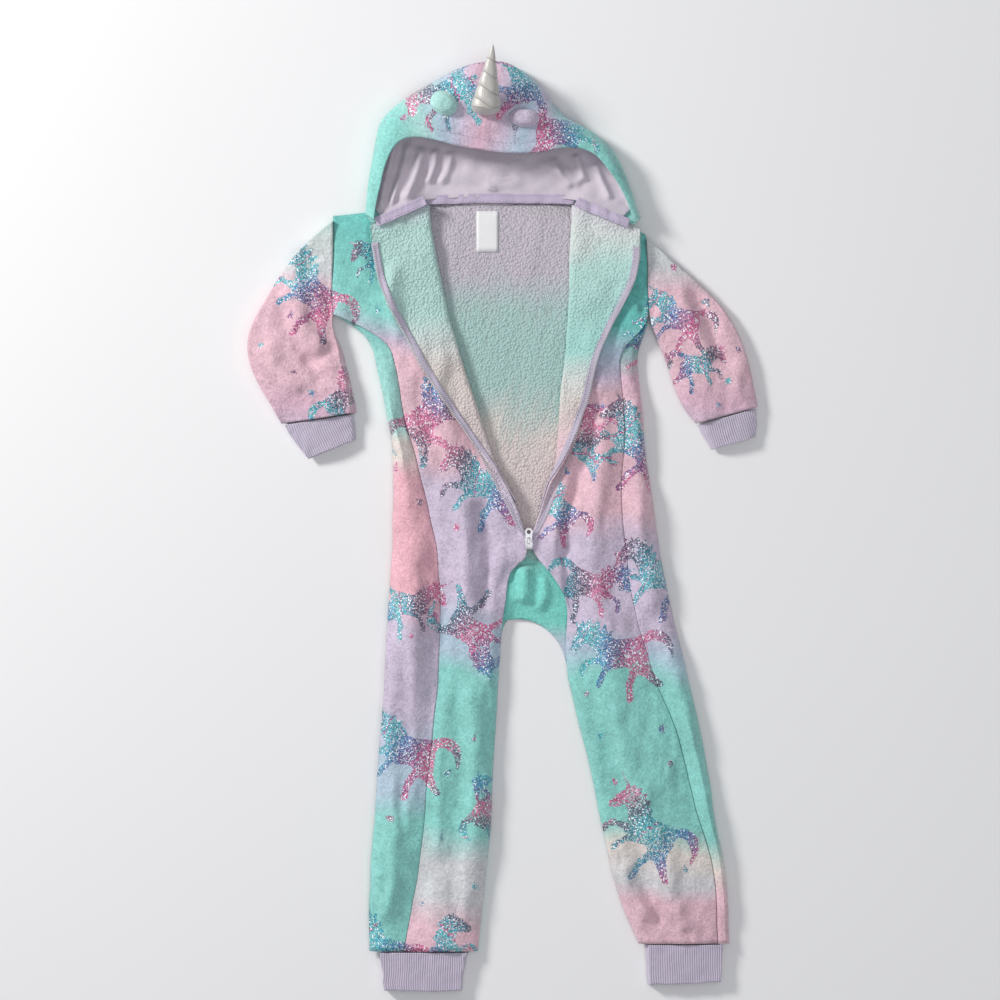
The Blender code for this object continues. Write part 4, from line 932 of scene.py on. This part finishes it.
def ribbed(node, material, start, end):
    """A knitted cuff: its ribs run from start to end, and its mouth is a little uneven."""
    thing = refined(node, RIB_LEVELS)
    points = places(thing)
    heading = np.array(end, dtype=float) - np.array(start, dtype=float)
    heading /= np.linalg.norm(heading)
    across = np.array((-heading[1], heading[0]))
    width = points[:, :2] @ across
    run = (points[:, :2] - np.array(start)) @ heading
    up = smooth(1.0, 4.0, points[:, 2])
    centre_z = (points[:, 2].min() + points[:, 2].max()) / 2
    outward = np.sign(points[:, 2] - centre_z)
    rib = np.sin(width * 2 * math.pi / RIB_PITCH)
    moved = points.copy()
    moved[:, 2] += up * (0.16 * rib * outward + 0.8 * noise(points, (14, 20, 200), 51))
    moved[:, 2] += up * 0.5 * noise(points, (6, 8, 200), 52)
    moved[:, :2] += heading * (1.2 * noise(points, (12, 12, 60), 53) * smooth(6.0, 20.0, run))[:, None]
    moved[:, :2] += across * (0.7 * noise(points, (20, 9, 30), 54))[:, None]
    moved[:, 2] = np.maximum(moved[:, 2], 0.0)
    put_places(thing, moved)
    number_layer(thing, "across", width + 0.5 * noise(points, (16, 16, 60), 55))
    return dress(thing, node, material)


def surface_finder(things):
    """A function that gives the height of the uppermost of some pieces at a place, or None where none is."""
    graph = bpy.context.evaluated_depsgraph_get()
    trees = [BVHTree.FromObject(thing, graph) for thing in things]

    def height(x, y):
        best = None
        start = Vector(((x - SHIFT[0]) * MM, (y - SHIFT[1]) * MM, 0.3))
        for tree in trees:
            found = tree.ray_cast(start, Vector((0.0, 0.0, -1.0)))[0]
            if found is not None and (best is None or found.z / MM > best):
                best = found.z / MM
        return best

    return height


# Lines in plan are laid out this finely between two of their given places
LINE_STEPS = 10
TAPE_ROWS_EVERY = 3.0
TAPE_COLUMNS = 5
TAPE_LIFT = 0.35
TAPE_THICKNESS = 0.7
BAR_SIDES = 6
STITCH_LIFT = 0.25
# A stitch that would climb more than this is left out
STEEPEST_STITCH = 2.5
# Rings of a small bar: share of its length, size, rise
STITCH_RINGS = ((0.0, 0.45, -0.3), (0.22, 1.0, 0.0), (0.78, 1.0, 0.0), (1.0, 0.45, -0.3))
TOOTH_RINGS = ((0.0, 0.6, 0.0), (0.15, 1.0, 0.0), (0.7, 0.85, 0.0), (1.0, 0.45, 0.0))


def tape_along(name, line, sides, height, material):
    """A tape laid along a line in plan on the cloth below it, between two distances from the line."""
    dense = curve(line, LINE_STEPS)
    run = run_along(dense)
    count = int(run[-1] / TAPE_ROWS_EVERY)
    centre = place_at(dense, run, np.linspace(0.0, run[-1], count)).T
    ahead = headings(centre)
    across = np.stack([-ahead[:, 1], ahead[:, 0]], axis=1)
    shares = np.linspace(sides[0], sides[1], TAPE_COLUMNS)
    tops = np.zeros((count, TAPE_COLUMNS, 3))
    z = 5.0
    for r in range(count):
        for c, share in enumerate(shares):
            x, y = centre[r] + across[r] * share
            found = height(x, y)
            z = z if found is None else found
            tops[r, c] = (x, y, z)
    # No lone high place, and rows eased along the tape
    tops[:, :, 2] = np.minimum(tops[:, :, 2], tops[:, :, 2].mean(axis=1)[:, None] + 1.6)
    kernel = np.array((1.0, 2.0, 3.0, 2.0, 1.0))
    padded = np.pad(tops[:, :, 2], ((2, 2), (0, 0)), mode="edge")
    tops[:, :, 2] = sum(k * padded[i : i + count] for i, k in enumerate(kernel)) / kernel.sum()
    tops[:, :, 2] += TAPE_LIFT
    under = tops.copy()
    under[:, :, 2] -= TAPE_THICKNESS
    columns = TAPE_COLUMNS
    vertices = np.vstack([tops.reshape(-1, 3), under.reshape(-1, 3)])
    faces = []
    each = count * columns
    for r in range(count - 1):
        for c in range(columns - 1):
            a = r * columns + c
            faces.append((a, a + 1, a + columns + 1, a + columns))
            faces.append((each + a, each + a + columns, each + a + columns + 1, each + a + 1))
        for a in (r * columns, r * columns + columns - 1):
            faces.append((a, a + columns, each + a + columns, each + a))
    for start in (0, (count - 1) * columns):
        for c in range(columns - 1):
            a = start + c
            faces.append((a, each + a, each + a + 1, a + 1))
    return new_object(name, vertices, faces, material)


def add_bar(vertices, faces, start, end, across, up, rings):
    """Adds a small rounded bar. across and up reach its sides. Each ring has its share of the way from start
    to end, its size, and how far it moves up."""
    first = len(vertices)
    upward = up / np.linalg.norm(up)
    for share, size, rise in rings:
        for k in range(BAR_SIDES):
            angle = 2 * math.pi * k / BAR_SIDES
            ring = across * math.cos(angle) + up * math.sin(angle)
            vertices.append(start + (end - start) * share + ring * size + upward * rise)
    for r in range(len(rings) - 1):
        for k in range(BAR_SIDES):
            a = first + BAR_SIDES * r + k
            b = first + BAR_SIDES * r + (k + 1) % BAR_SIDES
            faces.append((a, b, b + BAR_SIDES, a + BAR_SIDES))
    for cap in (first, len(vertices) - BAR_SIDES):
        faces.append(tuple(cap + k for k in range(BAR_SIDES)))


def dashes(name, line, height, material, length=2.6, gap=1.6, radius=0.35):
    """A row of stitches along a line in plan, each a small rounded bar lying on the cloth."""
    dense = curve(line, LINE_STEPS)
    run = run_along(dense)
    vertices, faces = [], []
    place = 0.0
    while place + length < run[-1]:
        ends = [place_at(dense, run, at) for at in (place, place + length)]
        low, high = (height(x, y) for x, y in ends)
        place += length + gap
        if low is None or high is None or abs(low - high) > STEEPEST_STITCH:
            continue
        start, end = (np.array((*at, z + STITCH_LIFT)) for at, z in zip(ends, (low, high)))
        heading = (end - start) / np.linalg.norm(end - start)
        side = np.cross(heading, (0.0, 0.0, 1.0))
        side /= np.linalg.norm(side)
        up = np.cross(side, heading)
        add_bar(vertices, faces, start, end, side * radius, up * radius * 0.7, STITCH_RINGS)
    return new_object(name, vertices, faces, material)


def cord(name, ring, radius, material):
    """A closed loop of thread through places given in order."""
    ring = np.array(ring)
    count, around = len(ring), 8
    centre = ring.mean(axis=0)
    vertices, faces = [], []
    for k in range(count):
        ahead = ring[(k + 1) % count] - ring[k - 1]
        ahead /= np.linalg.norm(ahead)
        out = ring[k] - centre
        out -= ahead * (out @ ahead)
        out /= np.linalg.norm(out)
        side = np.cross(ahead, out)
        for j in range(around):
            angle = 2 * math.pi * j / around
            vertices.append(ring[k] + radius * (out * math.cos(angle) + side * math.sin(angle)))
            a = k * around + j
            b = k * around + (j + 1) % around
            faces.append((a, b, (b + around) % (count * around), (a + around) % (count * around)))
    return new_object(name, vertices, faces, material)


# The horn's axis, and how far along it each thread wrap sits on its middle line
HORN_BASE = np.array((-16.0, 471.0, 56.8))
HORN_TIP = np.array((-8.0, 540.0, 70.8))
HORN_WRAPS = (0.05, 0.28, 0.52, 0.76)
HORN_SLANT = 0.10
HORN_HALF_WIDTH = 17.0
HORN_HALF_DEPTH = 13.0
# Where the horn's foot is sewn down if the hood isn't found below it
HOOD_TOP = 42.0
HORN_AXIS = (HORN_TIP - HORN_BASE) / np.linalg.norm(HORN_TIP - HORN_BASE)
HORN_SIDE = np.cross(HORN_AXIS, (0.0, 0.0, 1.0))
HORN_SIDE /= np.linalg.norm(HORN_SIDE)
HORN_UP = np.cross(HORN_SIDE, HORN_AXIS)
HORN_LENGTH = float(np.linalg.norm(HORN_TIP - HORN_BASE))


def horn_piece(material, thread):
    """The stuffed horn: satin drawn in by slanted thread wraps, and swelling between them."""
    thing = refined("horn", CLOTH_LEVELS)
    points = places(thing)
    offset = points - HORN_BASE
    along_axis = offset @ HORN_AXIS
    radial = offset - along_axis[:, None] * HORN_AXIS
    slanted = along_axis / HORN_LENGTH + HORN_SLANT * (offset @ HORN_SIDE) / HORN_HALF_WIDTH
    nearest = np.min([np.abs(slanted - wrap) for wrap in HORN_WRAPS], axis=0)
    swell = 1.0 + 0.04 * smooth(0.0, 0.12, nearest) - 0.055 * np.exp(-((nearest / 0.04) ** 2))
    swell += 0.02 * noise(points, (7, 12, 7), 71)
    body = smooth(1.02, 0.9, slanted)
    swell = 1.0 + (swell - 1.0) * body
    put_places(thing, HORN_BASE + along_axis[:, None] * HORN_AXIS + radial * swell[:, None])
    dress(thing, "horn", material)
    tree = BVHTree.FromObject(thing, bpy.context.evaluated_depsgraph_get())
    for number, wrap in enumerate(HORN_WRAPS):
        ring = []
        for k in range(36):
            angle = 2 * math.pi * k / 36
            out = HORN_SIDE * math.cos(angle) + HORN_UP * math.sin(angle)
            share = wrap - HORN_SLANT * math.cos(angle) * (1.0 - wrap)
            middle = HORN_BASE + HORN_AXIS * HORN_LENGTH * max(0.02, share)
            start = Vector((middle + out * 40.0 - SHIFT) * MM)
            found = tree.ray_cast(start, Vector(-out))[0]
            if found is not None:
                ring.append(np.array(found) / MM + SHIFT + out * 0.15)
        cord(f"horn_wrap_{number + 1}", ring, 0.75, thread)


def horn_root(hood_height, material):
    """The satin at the horn's foot: it curves down, gathered, from the rim to its seam on the hood."""
    rings, around = 8, 48
    vertices, faces = [], []
    for r in range(rings):
        share = r / (rings - 1)
        for k in range(around):
            angle = 2 * math.pi * k / around
            across, up = math.cos(angle), math.sin(angle)
            out = HORN_SIDE * HORN_HALF_WIDTH * across + HORN_UP * HORN_HALF_DEPTH * up
            rim = HORN_BASE + HORN_AXIS + 0.985 * out
            x = HORN_BASE[0] + 16.5 * across
            y = HORN_BASE[1] + 1.0 - 8.0 * up
            sewn = np.array((x, y, (hood_height(x, y) or HOOD_TOP) - 0.6))
            bulge = 5.0 * math.sin(math.pi * share) * (0.5 + 0.5 * up)
            gather = 0.45 * math.sin(14 * angle) * share
            place = rim * (1 - share) + sewn * share - HORN_AXIS * (bulge + gather * up)
            vertices.append(place + HORN_SIDE * gather * across)
            if r:
                a = (r - 1) * around + k
                b = (r - 1) * around + (k + 1) % around
                faces.append((a, b, b + around, a + around))
    faces.append(tuple(range(around)))
    faces.append(tuple((rings - 1) * around + k for k in range(around)))
    new_object("horn_root", vertices, faces, material)


def ear_piece(node, dye, material):
    """A stuffed ear, with the seam round its edge drawn in and a soft dent on top."""
    thing = refined(node, CLOTH_LEVELS)
    points = places(thing)
    low, high = points.min(axis=0), points.max(axis=0)
    centre = (low + high) / 2
    edge = np.exp(-(((points[:, 2] - centre[2]) / 1.6) ** 2))
    shrink = 1.0 - 0.055 * edge + 0.03 * noise(points, (9, 9, 9), 72)
    points[:, :2] = centre[:2] + (points[:, :2] - centre[:2]) * shrink[:, None]
    points[:, 2] += 0.8 * noise(points, (12, 9, 20), 73) * smooth(centre[2], high[2], points[:, 2])
    put_places(thing, points)
    shade = 1 + 0.06 * noise(points, (9, 9, 9), 74)
    none = np.zeros(len(points))
    fleece_layers(thing, DYE[dye] * shade[:, None], none, none + NO_PRINT, none)
    dress(thing, node, material)


def drawn_out(points, start, end, factor):
    """Places stretched along a line from its start, so that a binding meets the next one."""
    start = np.array(start, dtype=float)
    heading = np.array(end, dtype=float) - start
    heading /= np.linalg.norm(heading)
    run = (points[:, :2] - start) @ heading
    drawn = points.copy()
    drawn[:, :2] += heading * (run * (factor - 1.0))[:, None]
    return drawn


def flat_piece(node, material, gather=0.0, draw=None):
    """A thin tape, binding or label: its packed form with the garment's folds, and its own gathers."""
    thing = refined(node, CLOTH_LEVELS)
    points = places(thing)
    if draw:
        points = drawn_out(points, *draw)
    ripple = gather * (noise(points, (4.5, 30, 90), 75) + 0.6 * noise(points, (2.6, 20, 90), 76))
    moved = settled(points)
    moved[:, 2] += ripple
    moved[:, 1] += 0.6 * ripple
    put_places(thing, moved)
    return dress(thing, node, material)


def hard_piece(node, material, body):
    """A small metal part: its packed form with rounded edges."""
    thing = placed(node + "_metal", bpy.data.meshes.new(node + "_metal"))
    shape = cad_shape(node)
    bmesh.ops.dissolve_limit(shape, angle_limit=0.02, verts=shape.verts, edges=shape.edges)
    shape.to_mesh(thing.data)
    shape.free()
    edge = thing.modifiers.new("edge", "BEVEL")
    edge.width = 0.00025
    edge.segments = 3
    edge.limit_method = "ANGLE"
    edge.angle_limit = math.radians(40)
    dress(worked_in(thing), node, material, body)


def lapel_line(side, inset, low, high):
    """The zip edge of a lapel, moved in towards its fold, between two places along Y."""
    heights = np.linspace(low, high, 60)
    # At a height of 20 mm the points are in the upper cloth, so they move as it does
    raised = np.stack([read(LAPELS, "edge_" + side, heights), heights, np.full(60, 20.0)], axis=1)
    line = settled(raised)[:, :2]
    ahead = headings(line)
    inward = np.stack([ahead[:, 1], -ahead[:, 0]], axis=1) * (1 if side == "left" else -1)
    return line + inward * inset


TOOTH_PITCH = 2.3
TOOTH_LENGTH = 2.6
TOOTH_HALF_WIDTH = 0.62
TOOTH_HALF_HEIGHT = 0.6
# The lowest height at which the tape lies, below which a place is beside the lapel
LAPEL_LOW = 6.0


def zip_teeth(name, side, height, material):
    """The moulded teeth along a lapel's zip edge, each a small rounded bar across it."""
    edge = lapel_line(side, 0.0, -17, 316)
    inner = lapel_line(side, TOOTH_LENGTH, -17, 316)
    run = run_along(edge)
    vertices, faces = [], []
    for at in np.arange(1.0, run[-1], TOOTH_PITCH):
        outer_place = place_at(edge, run, at)
        inner_place = place_at(inner, run, at)
        z = height(*((outer_place + inner_place * 2) / 3))
        if z is None or z < LAPEL_LOW:
            continue
        across = (inner_place - outer_place) / np.linalg.norm(inner_place - outer_place)
        start = np.array((*(outer_place - across * 0.5), z + 0.35))
        end = np.array((*inner_place, z + 0.35))
        side_way = np.array((-across[1], across[0], 0.0)) * TOOTH_HALF_WIDTH
        up = np.array((0.0, 0.0, TOOTH_HALF_HEIGHT))
        add_bar(vertices, faces, start, end, side_way, up, TOOTH_RINGS)
    return new_object(name, vertices, faces, material)


# ---- The garment -------------------------------------------------------------------------------------
FLEECE_LOOK = fleece_material()
JERSEY_LOOK = jersey_material()
RIB_LOOK = rib_material()
TAPE_LOOK = tape_material("zip_tape", (190, 182, 200))
BINDING_LOOK = tape_material("neck_binding", (196, 184, 208))
THREAD_LOOK = thread_material("lilac_thread", (182, 168, 196))
WRAP_LOOK = thread_material("silver_thread", (176, 172, 170))
TEETH_LOOK = metal_material("zip_teeth", (206, 202, 210), 0.35, 0.0)
METAL_LOOK = metal_material("white_metal", (224, 224, 228), 0.28, 0.6)

# How far each neck binding is drawn out past its packed form: start and end of its line, and the factor
BACK_DRAW = ((0, 368), (60, 368), 1.30)
LEFT_DRAW = ((-144, 341), (-100, 360), 1.34)
RIGHT_DRAW = ((149, 339), (103, 359), 1.34)
back = cloth_piece("back_panel", FLEECE_LOOK)
front_left = cloth_piece("front_left", FLEECE_LOOK)
front_right = cloth_piece("front_right", FLEECE_LOOK)
sleeve_left = cloth_piece("sleeve_left", FLEECE_LOOK)
sleeve_right = cloth_piece("sleeve_right", FLEECE_LOOK)
hood = cloth_piece("hood_shell", FLEECE_LOOK, move=hood_moved)
lining = refined("hood_lining", CLOTH_LEVELS)
put_places(lining, lining_moved(places(lining)))
dress(lining, "hood_lining", JERSEY_LOOK)
cuff_sleeve_left = ribbed("sleeve_cuff_left", RIB_LOOK, (-207, 115), (-192, 81))
cuff_sleeve_right = ribbed("sleeve_cuff_right", RIB_LOOK, (260, 118), (269, 88))
cuff_leg_left = ribbed("leg_cuff_left", RIB_LOOK, (-87, -496), (-88, -540))
cuff_leg_right = ribbed("leg_cuff_right", RIB_LOOK, (211, -487), (212, -532))
SATIN_LOOK = satin_material()
horn_piece(SATIN_LOOK, WRAP_LOOK)
horn_root(surface_finder((hood,)), SATIN_LOOK)
ear_piece("ear_left", "mint", FLEECE_LOOK)
ear_piece("ear_right", "lilac", FLEECE_LOOK)
label = flat_piece("care_label", label_material())
tape_left = flat_piece("zip_tape_left", TAPE_LOOK)
tape_right = flat_piece("zip_tape_right", TAPE_LOOK)
binding_back = flat_piece("neck_binding_back", BINDING_LOOK, gather=0.5, draw=BACK_DRAW)
binding_left = flat_piece("neck_binding_left", BINDING_LOOK, gather=0.4, draw=LEFT_DRAW)
binding_right = flat_piece("neck_binding_right", BINDING_LOOK, gather=0.4, draw=RIGHT_DRAW)
hard_piece("zip_slider", METAL_LOOK, "garment")
hard_piece("pull_tab", METAL_LOOK, "pull_tab")

# ---- Teeth, the tapes' narrow ends and the stitches --------------------------------------------------
fronts_height = surface_finder((front_left, front_right, tape_left, tape_right))
tape_ends = []
for side in ("left", "right"):
    low_end = lapel_line(side, 2.4, -22, 26)
    tape_ends.append(tape_along(f"zip_tape_end_{side}", low_end, (-2.4, 3.0), fronts_height, TAPE_LOOK))
fronts_height = surface_finder((front_left, front_right, tape_left, tape_right, *tape_ends))
teeth = [zip_teeth(f"zip_teeth_{side}", side, fronts_height, TEETH_LOOK) for side in ("left", "right")]
for side in ("left", "right"):
    seam_line = lapel_line(side, 6.2, 26, 314)
    dashes(f"tape_stitches_{side}", seam_line, fronts_height, THREAD_LOOK)
hood_stitches = dashes("hood_stitches", HOOD_STITCHES, surface_finder((hood,)), THREAD_LOOK, 3.0, 2.0, 0.4)


def binding_middle(thing, inset):
    """The middle line of a binding, from its own vertices, moved across by an inset."""
    points = places(thing)
    order = np.linspace(points[:, 0].min() + 2, points[:, 0].max() - 2, 14)
    line = []
    for x in order:
        near = points[np.abs(points[:, 0] - x) < 4.0]
        line.append((x, near[:, 1].mean() + inset))
    return line


for binding, name in ((binding_back, "back"), (binding_left, "left"), (binding_right, "right")):
    finder = surface_finder((binding,))
    for inset, row in ((-3.4, "low"), (3.4, "high")):
        middle = binding_middle(binding, inset)
        stitch_row = f"binding_stitches_{name}_{row}"
        dashes(stitch_row, middle, finder, THREAD_LOOK, 2.2, 1.6)


# ---- Floor, light and camera -------------------------------------------------------------------------
# Half the floor's side in metres, and its height in millimetres
FLOOR_HALF = 4.0
FLOOR_Z = -0.5


def build_stage():
    """A plain pale floor just under the cloth."""
    floor_mesh = bpy.data.meshes.new("floor")
    signs = ((-1, -1), (1, -1), (1, 1), (-1, 1))
    corners = [(x * FLOOR_HALF, y * FLOOR_HALF, FLOOR_Z * MM) for x, y in signs]
    floor_mesh.from_pydata(corners, [], [(0, 1, 2, 3)])
    floor = placed("floor", floor_mesh)
    look, tree, shader, where = surface("pale_floor", Roughness=0.9)
    cloudy = grain(tree, where, 3.0, 2.0, 0.5)
    painted(tree, shader, (0.86, 0.86, 0.87, 1.0), sum_of(tree, 0.99, (cloudy, 0.02)))
    floor_mesh.materials.append(look)


def area_light(name, place, size, power, colour=(1.0, 1.0, 1.0)):
    """A round soft light that faces the middle of the garment."""
    light = bpy.data.lights.new(name, "AREA")
    light.shape = "DISK"
    light.size = size
    light.energy = power
    light.color = colour
    lamp = placed(name, light)
    lamp.location = place
    lamp.rotation_mode = "QUATERNION"
    lamp.rotation_quaternion = (-Vector(place)).to_track_quat("-Z", "Y")


build_stage()
area_light("window", (-2.5, 1.7, 1.7), 0.8, 96.0, (1.0, 0.985, 0.96))
area_light("ceiling", (0.6, -0.4, 3.4), 3.0, 30.0)
world = bpy.data.worlds.new("room")
world.use_nodes = True
world.node_tree.nodes["Background"].inputs["Color"].default_value = (0.93, 0.95, 1.0, 1.0)
world.node_tree.nodes["Background"].inputs["Strength"].default_value = 0.34
bpy.context.scene.world = world
bpy.context.scene.view_settings.view_transform = "Standard"

# The camera looks straight down. Its height and the width it sees are in metres
CAMERA_HEIGHT = 5.5
VIEW_WIDTH = 1.15
VIEW_CENTRE = (0.0, 23.0)
SENSOR_WIDTH = 36.0
camera_data = bpy.data.cameras.new("camera")
camera_data.sensor_width = SENSOR_WIDTH
camera_data.lens = SENSOR_WIDTH * CAMERA_HEIGHT / VIEW_WIDTH
camera_data.clip_end = 20.0
camera = placed("camera", camera_data)
camera.location = ((VIEW_CENTRE[0] - SHIFT[0]) * MM, (VIEW_CENTRE[1] - SHIFT[1]) * MM, CAMERA_HEIGHT)
bpy.context.scene.camera = camera
